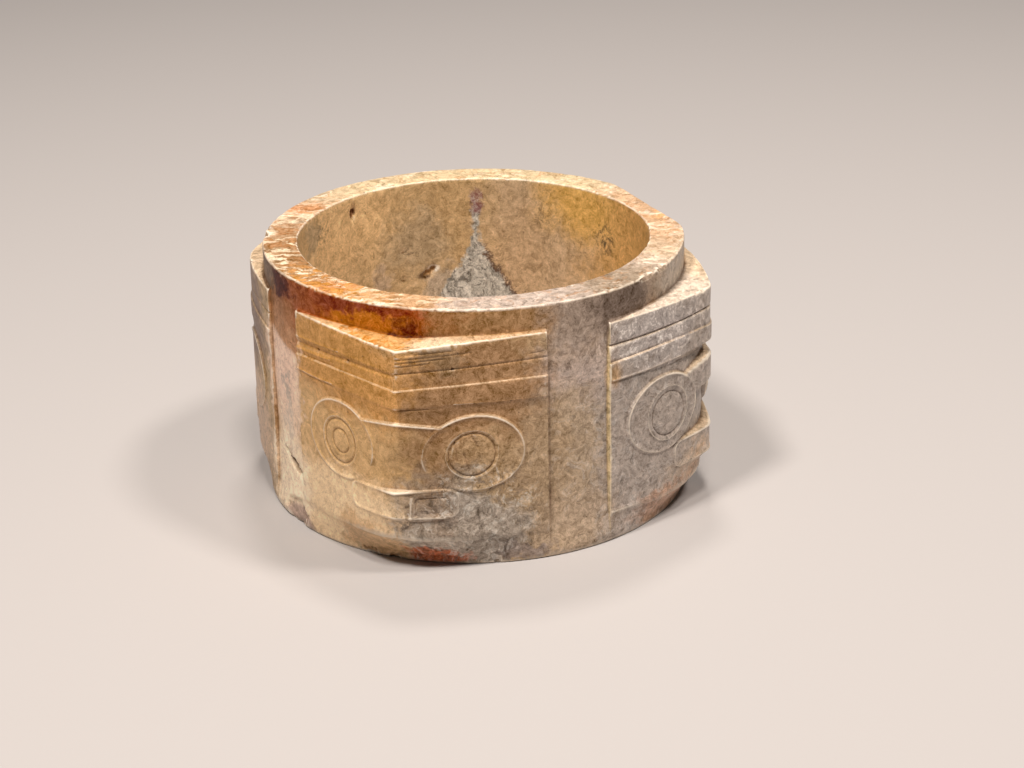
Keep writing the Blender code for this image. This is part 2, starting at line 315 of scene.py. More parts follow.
def tube_rows(columns):
    """Rows up the bore, over the rim and down the collar to the ledges."""
    for height in np.arange(EDGE, HEIGHT - EDGE, BORE_STEP):
        yield columns.row(BORE_RADIUS, height)
    for across, down in quarter_round(EDGE_ROWS):
        yield columns.row(BORE_RADIUS + EDGE * down, HEIGHT - EDGE + EDGE * across, edge=1)
    rim_in, rim_out = BORE_RADIUS + EDGE, columns.tube(HEIGHT) - EDGE
    for t in np.linspace(0, 1, RIM_ROWS + 1)[1:]:
        yield columns.row(rim_in + (rim_out - rim_in) * t, HEIGHT)
    for across, down in quarter_round(EDGE_ROWS, 1):
        yield columns.row(rim_out + EDGE * across, HEIGHT - EDGE * down, edge=1)
    for t in np.linspace(0, 1, COLLAR_ROWS + 1)[1:]:
        height = HEIGHT - EDGE + (columns.ledge_height() - HEIGHT + EDGE) * t
        yield columns.row(columns.tube(height), height)


def wall_rows(columns):
    """Rows out over the ledges and down the walls. On the bare strips they run straight down the tube."""
    share, reach = columns.share, columns.reach
    ledge_height = columns.ledge_height()
    outer_height = HEIGHT - (columns.line(0) * share + (WALL_TOP_DEPTH - 1.0) * (1 - share))
    for t in np.linspace(0, 1, LEDGE_ROWS + 2)[1:-1]:
        height = ledge_height + (outer_height - ledge_height) * t
        tube = columns.tube(height)
        yield columns.row(tube + (reach - BAND_STEP - LEDGE_ROUND - tube) * t * share, height)
    for across, down in quarter_round(WALL_EDGE_ROWS):
        height = outer_height - LEDGE_ROUND * down
        tube = columns.tube(height)
        radius = tube + (reach - LEDGE_ROUND * (1 - across) - tube) * share
        yield columns.row(radius, height, 1, WALL_EDGE_LAID, 1, share)
    for depth in stretches(WALL_STEPS):
        height = HEIGHT - columns.true_depth(depth)
        tube = columns.tube(height)
        yield columns.row(tube + (reach - tube) * share, height, 1, depth, 1)


def foot_rows(columns):
    """Rows back under the walls, down the foot and along the underside to the bore."""
    foot_height = HEIGHT - columns.true_depth(PANEL_FOOT_DEPTH)
    for t in np.append(0, np.linspace(UNDERCUT_START, 1, UNDERCUT_ROWS)):
        height = foot_height + (UNDERCUT_HEIGHT - foot_height) * t
        tube = columns.tube(height)
        step = FOOT_STEP * min(t / UNDERCUT_START, 1)
        slope = FOOT_RADIUS + (columns.reach - step - FOOT_RADIUS) * (1 - t)
        radius = tube + (np.maximum(slope, tube) - tube) * columns.share
        yield columns.row(radius, height, 1 - t, PANEL_FOOT_DEPTH + UNDERCUT_RUN * t, 1)
    for height in FOOT_ROW_HEIGHTS:
        yield columns.row(columns.tube(height), height, 0, FOOT_LAID, 1, 1)
    bottom = columns.tube(0.0)
    for t in np.linspace(0, 1, UNDERSIDE_ROWS):
        yield columns.row(bottom + (BORE_RADIUS + EDGE - bottom) * t, 0.0)
    yield columns.row(BORE_RADIUS + EDGE * 0.3, EDGE * 0.3)


# What the columns hand on to the carving
LAYOUT_NAMES = (
    "place", "laid_place", "near_corner", "panel", "brow", "cutback", "recess_end", "rubbed", "groove"
)


def make_skin():
    """The uncarved stone as a closed grid of columns and rows, whose points carry the layout."""
    columns = Columns()
    rows = np.array([*tube_rows(columns), *wall_rows(columns), *foot_rows(columns)])
    radius, height, carved, depth, outside, edge, azimuth = (rows[:, k] for k in range(7))
    azimuth = azimuth + columns.lean(height) * outside
    points = np.stack([radius * np.cos(azimuth), radius * np.sin(azimuth), height], -1) * MM
    index = np.arange(radius.size).reshape(radius.shape)
    above = np.roll(index, -1, 0)
    faces = np.stack([index, above, np.roll(above, -1, 1), np.roll(index, -1, 1)], -1).reshape(-1, 4)
    mesh = bpy.data.meshes.new("jade_cong_skin")
    mesh.from_pydata(points.reshape(-1, 3).tolist(), [], faces.tolist())
    layout = {"carved": carved, "depth": depth, "outside": outside, "edge": edge}
    for name in LAYOUT_NAMES:
        layout[name] = np.broadcast_to(getattr(columns, name), radius.shape)
    for name, values in layout.items():
        carrier = mesh.attributes.new(name, "FLOAT", "POINT")
        carrier.data.foreach_set("value", values.ravel().astype(np.float32))
    mesh.update()
    piece = bpy.data.objects.new("jade_cong_stone", mesh)
    bpy.context.scene.collection.objects.link(piece)
    return piece


# Carving: one tree cuts the bands and the mask on all four corners, one cuts a mark, and two wear the stone


def new_tree(name, sizes):
    """Geometry tree with named inputs for its sizes. Gives the tree, and its inputs as sockets by name."""
    tree = bpy.data.node_groups.new(name, "GeometryNodeTree")
    tree.interface.new_socket("Stone", in_out="INPUT", socket_type="NodeSocketGeometry")
    tree.interface.new_socket("Material", in_out="INPUT", socket_type="NodeSocketMaterial")
    for size, value in sizes.items():
        kind = "NodeSocketFloat" if isinstance(value, float) else "NodeSocketVector"
        tree.interface.new_socket(size, in_out="INPUT", socket_type=kind).default_value = value
    tree.interface.new_socket("Stone", in_out="OUTPUT", socket_type="NodeSocketGeometry")
    source = tree.nodes.new("NodeGroupInput")
    return tree, {output.name: output for output in source.outputs if output.name}


def finish_tree(tree, sizes, offset, selection=True):
    """Ends a tree: points moved by the offset in millimetres, instances made real and the material set."""
    offset = add(tree, "VectorMath", {0: offset, "Scale": MM}, operation="SCALE")
    feeds = {"Geometry": sizes["Stone"], "Offset": offset, "Selection": selection}
    moved = add(tree, "GeometryNodeSetPosition", feeds)
    real = add(tree, "GeometryNodeRealizeInstances", {0: moved})
    dressed = add(tree, "GeometryNodeSetMaterial", {"Geometry": real, "Material": sizes["Material"]})
    add(tree, "NodeGroupOutput", {0: dressed})
    return tree


def run_tree(piece, tree, **sizes):
    """Adds a tree to the piece as a modifier, with its inputs set by their identifiers."""
    modifier = piece.modifiers.new(tree.name, "NODES")
    modifier.node_group = tree
    names = {item.name: item.identifier for item in tree.interface.items_tree if item.in_out == "INPUT"}
    for size, value in sizes.items():
        modifier[names[size.replace("_", " ").capitalize()]] = value


def layout_of(tree, name):
    """A value that the skin carries on its points."""
    return add(tree, "GeometryNodeInputNamedAttribute", {"Name": name}, data_type="FLOAT")


def in_millimetres(tree):
    position = add(tree, "GeometryNodeInputPosition")
    return add(tree, "VectorMath", {0: position, "Scale": 1 / MM}, operation="SCALE")


def inwards(tree, position, distance):
    """Offset of this many millimetres towards the axis."""
    level = add(tree, "VectorMath", {0: position, 1: (-1, -1, 0)}, operation="MULTIPLY")
    way = add(tree, "VectorMath", {0: level}, operation="NORMALIZE")
    return add(tree, "VectorMath", {0: way, "Scale": distance}, operation="SCALE")


def profile(tree, value, points):
    """A value's height on a profile of straight stretches between (value, height) points, heights 0 to 1."""
    start, end = points[0][0], points[-1][0]
    share = add(tree, "MapRange", {"Value": value, "From Min": start, "From Max": end})
    height = add(tree, "FloatCurve", {"Value": share})
    curve = height.node.mapping.curves[0]
    curve.points[0].location = (0, points[0][1])
    curve.points[-1].location = (1, points[-1][1])
    for place, tall in points[1:-1]:
        curve.points.new((place - start) / (end - start), tall)
    for point in curve.points:
        point.handle_type = "VECTOR"
    height.node.mapping.update()
    return height


def eye_form(tree, flat, place, depth):
    """Eyes, ovals, crisp above and softer below: how far points stand up in them and in their lips."""
    from_eye = add(tree, "VectorMath", {0: flat, 1: (EYE_PLACE, EYE_DEPTH, 0)}, operation="SUBTRACT")
    squash = (1.0, EYE_HALF_WIDTH / EYE_HALF_HEIGHT, 0)
    circle = add(tree, "VectorMath", {0: from_eye, 1: squash}, operation="MULTIPLY")
    distance = add(tree, "VectorMath", {0: circle}, operation="LENGTH")
    feeds = {"Value": depth, "From Min": 36, "From Max": 54, "To Min": 0.5, "To Max": 1.5}
    width = add(tree, "MapRange", feeds)
    past = add(tree, "Math", {0: distance, 1: EYE_HALF_WIDTH}, operation="SUBTRACT")
    past = add(tree, "Math", {0: past, 1: width}, operation="DIVIDE")
    feeds = {"Value": past, "From Min": 0.5, "From Max": -0.5}
    eye = add(tree, "MapRange", feeds, interpolation_type="SMOOTHSTEP")
    lip = profile(tree, distance, [(0, 0.0), (13.4, 0.0), (14.2, 1.0), (14.7, 1.0), (15.2, 0.0), (20, 0.0)])
    worn_across = profile(tree, place, [(20, 0.0), (36, 0.0), (41, 1.0), (60, 1.0)])
    worn_down = profile(tree, depth, [(20, 0.0), (44.5, 0.0), (48.5, 1.0), (60, 1.0)])
    worn = add(tree, "Math", {0: worn_across, 1: worn_down}, operation="MULTIPLY")
    return eye, add(tree, "Math", {0: lip, 1: worn}, operation="SUBTRACT", use_clamp=True)


def bridge_form(tree, place, depth):
    """Bridge from eye to eye, drooping away from the corner: how far points stand up in it and its sill."""
    feeds = {"Value": place, "From Min": 41, "From Max": CORNER_PLACE, "To Min": 2.2, "To Max": 0.0}
    droop = add(tree, "MapRange", feeds)
    level = add(tree, "Math", {0: depth, 1: droop}, operation="SUBTRACT")
    top = [(28, 0.0), (BRIDGE_DEPTH - 0.3, 0.0), (BRIDGE_DEPTH + 0.3, 1.0)]
    crisp = profile(tree, level, top + [(39.2, 1.0), (40.8, 0.0), (47, 0.0)])
    rubbed = profile(tree, level, top + [(37.0, 1.0), (40.0, 0.8), (46.5, 0.0), (47, 0.0)])
    high = add(tree, "Mix", {"Factor": layout_of(tree, "rubbed"), "A": crisp, "B": rubbed})
    wide = profile(tree, place, [(36, 0.0), (38, 0.0), (42, 1.0), (56, 1.0)])
    bridge = add(tree, "Math", {0: high, 1: wide}, operation="MULTIPLY")
    ridge = [(BRIDGE_DEPTH + 0.3, 1.0), (BRIDGE_DEPTH + 0.7, 1.0), (BRIDGE_DEPTH + 1.3, 0.0)]
    sill = profile(tree, level, [(28, 0.0), (BRIDGE_DEPTH, 0.0)] + ridge + [(47, 0.0)])
    for factor in (layout_of(tree, "rubbed"), wide):
        sill = add(tree, "Math", {0: sill, 1: factor}, operation="MULTIPLY")
    return bridge, sill


def nose_form(tree, flat, depth):
    """Nose, a rounded bar that slopes below: how far points stand up in it and in its outline."""
    from_nose = add(tree, "VectorMath", {0: flat, 1: (CORNER_PLACE, NOSE_DEPTH, 0)}, operation="SUBTRACT")
    quarter = add(tree, "VectorMath", {0: from_nose}, operation="ABSOLUTE")
    core = (NOSE_HALF_WIDTH - NOSE_END, NOSE_HALF_HEIGHT - NOSE_END, 0)
    beyond = add(tree, "VectorMath", {0: quarter, 1: core}, operation="SUBTRACT")
    beyond = add(tree, "VectorMath", {0: beyond, 1: (0, 0, 0)}, operation="MAXIMUM")
    distance = add(tree, "VectorMath", {0: beyond}, operation="LENGTH")
    past = add(tree, "Math", {0: distance, 1: NOSE_END - 0.25}, operation="SUBTRACT")
    feeds = {"Value": depth, "From Min": 57, "From Max": 61.5, "To Min": 0.6, "To Max": 3.6}
    width = add(tree, "MapRange", feeds)
    nose = add(tree, "Math", {0: past, 1: width}, operation="DIVIDE")
    nose = add(tree, "Math", {0: 1.0, 1: nose}, operation="SUBTRACT", use_clamp=True)
    return nose, profile(tree, distance, [(0, 0.0), (2.0, 0.0), (2.6, 1.0), (3.0, 1.0), (3.5, 0.0), (8, 0.0)])


def standing_face(tree, place, depth):
    """How far each point stands up in the mask of eyes, bridge and nose, and in the lips round them."""
    flat = add(tree, "CombineXYZ", {"X": place, "Y": depth})
    eye, lip = eye_form(tree, flat, place, depth)
    bridge, sill = bridge_form(tree, place, depth)
    nose, outline = nose_form(tree, flat, depth)
    lip = add(tree, "Math", {0: lip, 1: sill}, operation="MAXIMUM")
    lip = add(tree, "Math", {0: lip, 1: outline}, operation="MAXIMUM")
    face = add(tree, "Math", {0: eye, 1: bridge}, operation="MAXIMUM")
    return add(tree, "Math", {0: face, 1: nose}, operation="MAXIMUM"), lip


def carving_tree():
    """Cuts back the ground between the bands and the mask on every corner, by the layout on the points."""
    steps = {"Band step": BAND_STEP, "Groove depth": 0.34, "Panel ground": 0.45, "Lip": 0.27}
    tree, sizes = new_tree("carve_corners", steps)
    place, depth = layout_of(tree, "laid_place"), layout_of(tree, "depth")

    # Ground: shallow on the panels and softly begun, deep round the corner and crisply begun
    near_corner = layout_of(tree, "near_corner")
    deep = profile(tree, near_corner, [(36, 0.0), (44, 0.03), (48, 0.16), (51.5, 0.6), (CORNER_PLACE, 1.0)])
    feeds = {"Value": depth, "From Min": 32, "From Max": layout_of(tree, "recess_end")}
    brow = add(tree, "MapRange", feeds | {"To Min": layout_of(tree, "brow")})
    crisp = profile(tree, depth, [(8, 0.0), (27.1, 0.0), (27.9, 1.0), (32, 1.0)])
    for factor in (brow, crisp, layout_of(tree, "cutback")):
        deep = add(tree, "Math", {0: deep, 1: factor}, operation="MULTIPLY")
    soft = [(8, 0.0), (26.9, 0.0), (27.6, 0.4), (30.2, 1.0), (40, 0.9), (50, 0.3), (80, 0.3)]
    soft = profile(tree, depth, soft)
    ground = add(tree, "Math", {0: soft, 1: sizes["Panel ground"], 2: deep}, operation="MULTIPLY_ADD")
    standing, lip = standing_face(tree, place, depth)
    sunk = add(tree, "Math", {0: 1.0, 1: standing}, operation="SUBTRACT", use_clamp=True)
    cut = add(tree, "Math", {0: sunk, 1: ground}, operation="MULTIPLY")
    raised = add(tree, "Math", {0: lip, 1: sizes["Lip"]}, operation="MULTIPLY")
    cut = add(tree, "Math", {0: cut, 1: raised}, operation="SUBTRACT")

    # Bands: the upper two stand back from the lowest, with a groove between them
    step = profile(tree, depth, [(8, 1.0), (21.35, 1.0), (21.75, 0.0), (30, 0.0)])
    cut = add(tree, "Math", {0: step, 1: sizes["Band step"], 2: cut}, operation="MULTIPLY_ADD")
    groove = profile(tree, depth, [(8, 0.0), (16.2, 0.0), (16.45, 1.0), (16.7, 1.0), (17.0, 0.0), (30, 0.0)])
    groove = add(tree, "Math", {0: groove, 1: layout_of(tree, "groove")}, operation="MULTIPLY")
    cut = add(tree, "Math", {0: groove, 1: sizes["Groove depth"], 2: cut}, operation="MULTIPLY_ADD")
    cut = add(tree, "Math", {0: cut, 1: layout_of(tree, "carved")}, operation="MULTIPLY")
    return finish_tree(tree, sizes, inwards(tree, in_millimetres(tree), cut))


def mark_tree():
    """Cuts one mark on one panel: a line, or a ring where it has a radius. Below zero, it is raised."""
    line = {"Panel": 0.0, "Start": (0, 0, 0), "End": (0, 0, 0), "Radius": 0.0}
    tree, sizes = new_tree("cut_mark", line | {"Width": 0.5, "Depth": 0.2, "Worn": 0.3})
    position = in_millimetres(tree)
    height = add(tree, "SeparateXYZ", {0: position}).node.outputs["Z"]
    depth = add(tree, "Math", {0: HEIGHT, 1: height}, operation="SUBTRACT")
    flat = add(tree, "CombineXYZ", {"X": layout_of(tree, "place"), "Y": depth})
    length = add(tree, "VectorMath", {0: sizes["End"], 1: sizes["Start"]}, operation="SUBTRACT")
    along = add(tree, "VectorMath", {0: flat, 1: sizes["Start"]}, operation="SUBTRACT")
    squared = add(tree, "VectorMath", {0: length, 1: length}, operation="DOT_PRODUCT")
    squared = add(tree, "Math", {0: squared, 1: 0.0001}, operation="MAXIMUM")
    share = add(tree, "VectorMath", {0: along, 1: length}, operation="DOT_PRODUCT")
    share = add(tree, "Math", {0: share, 1: squared}, operation="DIVIDE", use_clamp=True)
    nearest = add(tree, "VectorMath", {0: length, "Scale": share}, operation="SCALE")
    distance = add(tree, "VectorMath", {0: along, 1: nearest}, operation="DISTANCE")
    noise = add(tree, "TexNoise", {"Vector": position, "Scale": 0.35, "Detail": 2.0})
    distance = add(tree, "Math", {0: noise, 1: 0.3, 2: distance}, operation="MULTIPLY_ADD")
    off = add(tree, "Math", {0: distance, 1: sizes["Radius"]}, operation="SUBTRACT")
    off = add(tree, "Math", {0: off, 1: 0.15}, operation="SUBTRACT")
    off = add(tree, "Math", {0: off}, operation="ABSOLUTE")
    half = add(tree, "Math", {0: sizes["Width"], 1: 0.5}, operation="MULTIPLY")
    feeds = {"Value": off, "From Min": half, "From Max": 0.0}
    inside = add(tree, "MapRange", feeds, interpolation_type="SMOOTHSTEP")
    patchy = add(tree, "TexNoise", {"Vector": position, "Scale": 0.13, "Detail": 1.0})
    patchy = add(tree, "MapRange", {"Value": patchy, "From Min": 0.4, "From Max": 0.6, "To Min": 1.0})
    kept = add(tree, "Math", {0: patchy, 1: sizes["Worn"]}, operation="MULTIPLY")
    kept = add(tree, "MapRange", {"Value": kept, "To Min": 1.0, "To Max": 0.0})
    cut = inside
    for factor in (sizes["Depth"], kept, layout_of(tree, "outside")):
        cut = add(tree, "Math", {0: cut, 1: factor}, operation="MULTIPLY")
    feeds = {0: layout_of(tree, "panel"), 1: sizes["Panel"], "Epsilon": 0.5}
    here = add(tree, "FunctionNodeCompare", feeds, operation="EQUAL")
    return finish_tree(tree, sizes, inwards(tree, position, cut), here)


def unevenness(tree, position, scale, detail):
    """Noise about zero, with its scale in cells to a millimetre."""
    noise = add(tree, "TexNoise", {"Vector": position, "Scale": scale, "Detail": detail})
    return add(tree, "Math", {0: noise, 1: 0.5}, operation="SUBTRACT")


def chip_tree():
    """Breaks one chip, pit or crack out of the stone, round a point, with its reaches out, round and up."""
    where = {"Centre": (0, 0, 0), "Turn": (0, 0, 0), "Reach": (1, 1, 1)}
    tree, sizes = new_tree("break_chip", where | {"Depth": 0.5, "Roughness": 0.35})
    position = in_millimetres(tree)
    away = add(tree, "VectorMath", {0: position, 1: sizes["Centre"]}, operation="SUBTRACT")
    feeds = {"Vector": away, "Rotation": sizes["Turn"]}
    turned = add(tree, "VectorRotate", feeds, rotation_type="EULER_XYZ", invert=True)
    scaled = add(tree, "VectorMath", {0: turned, 1: sizes["Reach"]}, operation="DIVIDE")
    distance = add(tree, "VectorMath", {0: scaled}, operation="LENGTH")
    rough = unevenness(tree, position, 0.6, 3.0)
    rough = add(tree, "Math", {0: rough, 1: sizes["Roughness"]}, operation="MULTIPLY")
    distance = add(tree, "Math", {0: rough, 1: 4.0, 2: distance}, operation="MULTIPLY_ADD")
    feeds = {"Value": distance, "From Min": 1.0, "From Max": 0.6}
    inside = add(tree, "MapRange", feeds, interpolation_type="SMOOTHSTEP")
    cut = add(tree, "Math", {0: inside, 1: sizes["Depth"]}, operation="MULTIPLY")
    cut = add(tree, "Math", {0: cut, 1: -1.0}, operation="MULTIPLY")
    normal = add(tree, "GeometryNodeInputNormal")
    return finish_tree(tree, sizes, add(tree, "VectorMath", {0: normal, "Scale": cut}, operation="SCALE"))


def wear_tree():
    """Wears the stone: faces wander a little, edges are nibbled and the surface has faint dints."""
    tree, sizes = new_tree("wear_surface", {"Wander": 0.34, "Dints": 0.07, "Nibbles": 0.22})
    position = in_millimetres(tree)
    wander = unevenness(tree, position, 0.06, 1.0)
    wander = add(tree, "Math", {0: wander, 1: sizes["Wander"]}, operation="MULTIPLY")
    dints = unevenness(tree, position, 0.4, 3.0)
    moved = add(tree, "Math", {0: dints, 1: sizes["Dints"], 2: wander}, operation="MULTIPLY_ADD")
    bites = add(tree, "TexNoise", {"Vector": position, "Scale": 0.3, "Detail": 2.0})
    bites = add(tree, "MapRange", {"Value": bites, "From Min": 0.52, "From Max": 0.72})
    for factor in (layout_of(tree, "edge"), sizes["Nibbles"]):
        bites = add(tree, "Math", {0: bites, 1: factor}, operation="MULTIPLY")
    moved = add(tree, "Math", {0: moved, 1: bites}, operation="SUBTRACT")
    height = add(tree, "SeparateXYZ", {0: position}).node.outputs["Z"]
    above_table = add(tree, "MapRange", {"Value": height, "From Min": 0.2, "From Max": 3.0})
    moved = add(tree, "Math", {0: moved, 1: above_table}, operation="MULTIPLY")
    normal = add(tree, "GeometryNodeInputNormal")
    return finish_tree(tree, sizes, add(tree, "VectorMath", {0: normal, "Scale": moved}, operation="SCALE"))


# Marks on the panels: panel, start or centre, a line's end or a ring's radius, width, depth and patchy wear
MARKS = (
    # Pupils, drilled with a tube: a ring, with a worn swelling round it
    (FRONT_RIGHT, (33.2, 42.3), 6.6, 1.0, 0.42, 0.1),
    (FRONT_RIGHT, (33.0, 42.3), 7.5, 0.9, -0.2, 0.3),
    (FRONT_RIGHT, (33.2, 42.6), 9.9, 0.8, -0.14, 0.9),
    (FRONT_RIGHT, (19.0, 41.0), (19.8, 46.2), 0.8, -0.12, 0.2),
    (FRONT_RIGHT, (19.8, 46.2), (22.4, 50.8), 0.8, -0.12, 0.2),
    (FRONT_RIGHT, (38.2, 38.0), (37.4, 43.6), 1.2, 0.34, 0.1),
    (FRONT_RIGHT, (33.4, 36.6), (31.6, 40.0), 1.0, 0.34, 0.1),
    (FRONT_RIGHT, (35.6, 42.0), (34.2, 47.4), 1.3, 0.32, 0.1),
    (FRONT_RIGHT, (31.2, 43.0), (31.0, 47.0), 0.8, 0.16, 0.2),
    (FRONT_LEFT, (31.9, 42.9), 3.7, 0.9, 0.44, 0.1),
    (FRONT_LEFT, (31.9, 42.9), 5.2, 0.8, 0.16, 0.5),
    (FRONT_LEFT, (31.6, 43.0), 6.8, 0.9, 0.46, 0.15),
    (FRONT_LEFT, (31.6, 43.0), 7.7, 0.8, -0.18, 0.3),
    (FRONT_LEFT, (31.9, 43.2), 8.7, 0.8, 0.28, 0.5),
    (FRONT_LEFT, (42.4, 43.2), (41.4, 47.6), 0.8, -0.16, 0.2),
    (FRONT_LEFT, (41.4, 47.6), (37.4, 51.8), 0.8, -0.16, 0.2),
    (RIGHT, (33.2, 44.1), 6.9, 0.9, 0.44, 0.0),
    (RIGHT, (33.4, 44.5), 5.4, 0.7, -0.16, 0.5),
    (RIGHT, (32.8, 43.8), 8.5, 0.9, -0.36, 0.1),
    (RIGHT, (33.6, 44.6), 4.2, 0.7, 0.22, 0.5),
    (RIGHT, (34.4, 47.0), (30.4, 47.8), 1.0, 0.2, 0.2),
    (RIGHT, (43.6, 44.6), (42.4, 47.4), 0.8, 0.2, 0.2),
    (FAR_LEFT, (32.6, 42.6), 7.0, 0.8, 0.28, 0.4),
    (0, (32.6, 42.6), 7.0, 0.8, 0.28, 0.4),
    (1, (32.4, 42.4), 7.0, 0.8, 0.26, 0.5),
    (2, (32.6, 42.8), 7.0, 0.8, 0.26, 0.5),
    (7, (32.6, 42.8), 7.2, 0.8, 0.3, 0.4),
    # Hairlines on the top band and the line under the lowest one
    (FRONT_RIGHT, (54.4, 11.0), (38.0, 10.2), 0.6, 0.24, 0.2),
    (FRONT_RIGHT, (54.4, 12.2), (33.0, 11.2), 0.6, 0.22, 0.3),
    (FRONT_RIGHT, (54.4, 13.3), (41.0, 12.4), 0.6, 0.24, 0.2),
    (FRONT_RIGHT, (54.4, 14.4), (45.0, 13.6), 0.6, 0.22, 0.2),
    (FRONT_RIGHT, (16.0, 13.8), (11.4, 13.6), 0.6, 0.18, 0.2),
    (FRONT_RIGHT, (53.6, 27.4), (45.4, 27.3), 0.7, 0.3, 0.0),
    (FRONT_RIGHT, (38.0, 26.2), (11.0, 27.4), 0.7, -0.18, 0.1),
    (FRONT_LEFT, (10.4, 16.6), (32.0, 15.1), 1.0, -0.16, 0.0),
    (FRONT_LEFT, (32.0, 15.1), (48.0, 15.8), 1.0, -0.1, 0.2),
    (FRONT_LEFT, (10.4, 18.5), (22.0, 17.6), 2.6, 0.5, 0.0),
    (FRONT_LEFT, (22.0, 17.6), (36.0, 16.9), 2.2, 0.42, 0.0),
    (FRONT_LEFT, (36.0, 16.9), (54.0, 17.1), 1.8, 0.34, 0.0),
    (FRONT_LEFT, (10.4, 20.4), (28.0, 18.9), 1.4, -0.22, 0.0),
    (FRONT_LEFT, (10.4, 21.6), (30.0, 20.2), 0.7, 0.14, 0.0),
    (FRONT_LEFT, (10.4, 26.6), (29.0, 25.9), 0.9, -0.2, 0.0),
    (FRONT_LEFT, (10.4, 27.4), (29.0, 26.7), 1.0, 0.14, 0.0),
    (RIGHT, (10.8, 21.7), (32.0, 20.9), 0.6, 0.2, 0.1),
    (RIGHT, (32.0, 20.9), (53.0, 21.5), 0.6, 0.16, 0.3),
    (RIGHT, (11.0, 27.5), (38.0, 27.1), 0.8, -0.24, 0.0),
    (RIGHT, (11.0, 28.3), (38.0, 27.9), 0.9, 0.26, 0.0),
    (RIGHT, (26.0, 28.6), (40.0, 29.0), 1.6, 0.3, 0.0),
    (RIGHT, (38.0, 29.2), (52.0, 29.8), 3.2, 0.4, 0.0),
    # Nostrils and mouth lines
    (FRONT_RIGHT, (49.6, 54.6), (50.0, 61.2), 1.2, -0.44, 0.0),
    (FRONT_RIGHT, (48.4, 55.6), (48.7, 60.6), 0.9, 0.34, 0.0),
    (FRONT_RIGHT, (49.0, 53.9), (40.4, 53.8), 1.1, -0.26, 0.0),
    (FRONT_RIGHT, (48.0, 55.2), (40.8, 55.1), 0.9, 0.34, 0.0),
    (FRONT_RIGHT, (39.8, 56.2), (39.9, 60.2), 0.9, 0.3, 0.0),
    (FRONT_RIGHT, (50.2, 61.6), (41.0, 61.4), 0.9, -0.24, 0.1),
    (FRONT_RIGHT, (51.6, 62.7), (41.4, 62.5), 1.0, 0.38, 0.1),
    (FRONT_RIGHT, (48.4, 60.0), (43.6, 59.8), 0.8, 0.26, 0.2),
    # Line above the foot
    (FRONT_RIGHT, (49.6, 67.4), (20.0, 69.6), 0.8, -0.2, 0.2),
    (FRONT_LEFT, (54.0, 67.6), (42.0, 68.2), 0.7, 0.16, 0.3),
    (FRONT_LEFT, (34.0, 66.4), (26.0, 65.8), 0.6, 0.14, 0.3),
    (RIGHT, (10.9, 69.4), (34.0, 70.2), 1.1, -0.42, 0.0),
    (RIGHT, (11.0, 71.0), (28.0, 71.6), 0.7, 0.2, 0.2),
)

# Chips, pits and cracks: centre, azimuth they face, tilt, reaches out, round and up, depth, roughness
CHIPS = (
    (on_panel(FRONT_RIGHT, 38.4, 15.7), -115, 0, (2, 0.5, 0.45), 0.6, 0.05),
    (on_panel(FRONT_LEFT, 51.5, 63.3, 1.5), -136, 0, (3, 0.6, 0.5), 0.8, 0.05),
    (on_tube(-113, 78.5, 66), -113, 0, (2, 1.2, 0.8), 0.8, 0.3),
    (on_tube(-147, 78.2, 66), -147, 0, (2, 3.6, 1.3), 1.0, 0.35),
    (on_tube(-140, 78.8, 66), -140, 0, (2, 2.4, 0.9), 0.7, 0.35),
    (on_tube(-175, 75.5, 66), -175, 0, (4, 7.5, 5.0), 0.9, 0.3),
    (on_tube(-176.8, 60.8, 65), -177, 62, (3, 1.5, 3.0), 1.3, 0.1),
    (on_tube(-174.0, 62.4, 65), -174, 62, (3, 0.9, 4.2), 1.0, 0.05),
    (on_tube(179.5, 58.6, 65), 179.5, 62, (3, 0.7, 3.6), 0.7, 0.05),
    (on_tube(150, 0.4, 64), 150, 0, (1.6, 3.2, 1.0), 0.9, 0.3),
    (on_tube(-66, 0.4, 64), -66, 0, (1.2, 4.0, 0.9), 0.45, 0.3),
    (on_tube(-58, 0.4, 64), -58, 0, (1.2, 3.0, 0.9), 0.45, 0.3),
    (on_panel(RIGHT, 49.5, 9.9), -50, 0, (1.6, 1.3, 0.9), 0.5, 0.2),
    (on_panel(RIGHT, 46.2, 9.8), -52, 0, (1.4, 0.8, 0.8), 0.4, 0.2),
    (on_panel(FAR_LEFT, 36.0, 9.0), 146, 0, (7, 0.6, 3.0), 0.8, 0.2),
    (on_tube(109, 5.6, BORE_RADIUS), 109, 0, (2, 1.6, 1.9), 1.0, 0.3),
    (on_tube(88, 23.0, BORE_RADIUS), 88, 0, (2, 1.1, 0.8), 0.6, 0.3),
    (on_tube(79, 31.2, BORE_RADIUS), 79, -30, (2, 3.4, 1.3), 0.8, 0.2),
    (on_tube(89, 33.5, BORE_RADIUS), 89, 0, (2, 1.3, 0.8), 0.6, 0.3),
)


def carve(piece, stone):
    """Runs the trees on the skin: the layout, each mark, the wear, then each chip."""
    mark, chip = mark_tree(), chip_tree()
    run_tree(piece, carving_tree(), material=stone)
    for panel, start, reach, width, depth, worn in MARKS:
        end, radius = (reach, 0.0) if isinstance(reach, tuple) else (start, reach)
        sizes = {"start": start + (0,), "end": end + (0,), "radius": radius, "width": width, "depth": depth}
        run_tree(piece, mark, material=stone, panel=float(panel), worn=worn, **sizes)
    run_tree(piece, wear_tree(), material=stone)
    for centre, azimuth, tilt, reach, depth, roughness in CHIPS:
        turn = (radians(tilt), 0, radians(azimuth))
        sizes = {"centre": tuple(centre), "turn": turn, "reach": reach, "depth": depth}
        run_tree(piece, chip, material=stone, roughness=roughness, **sizes)


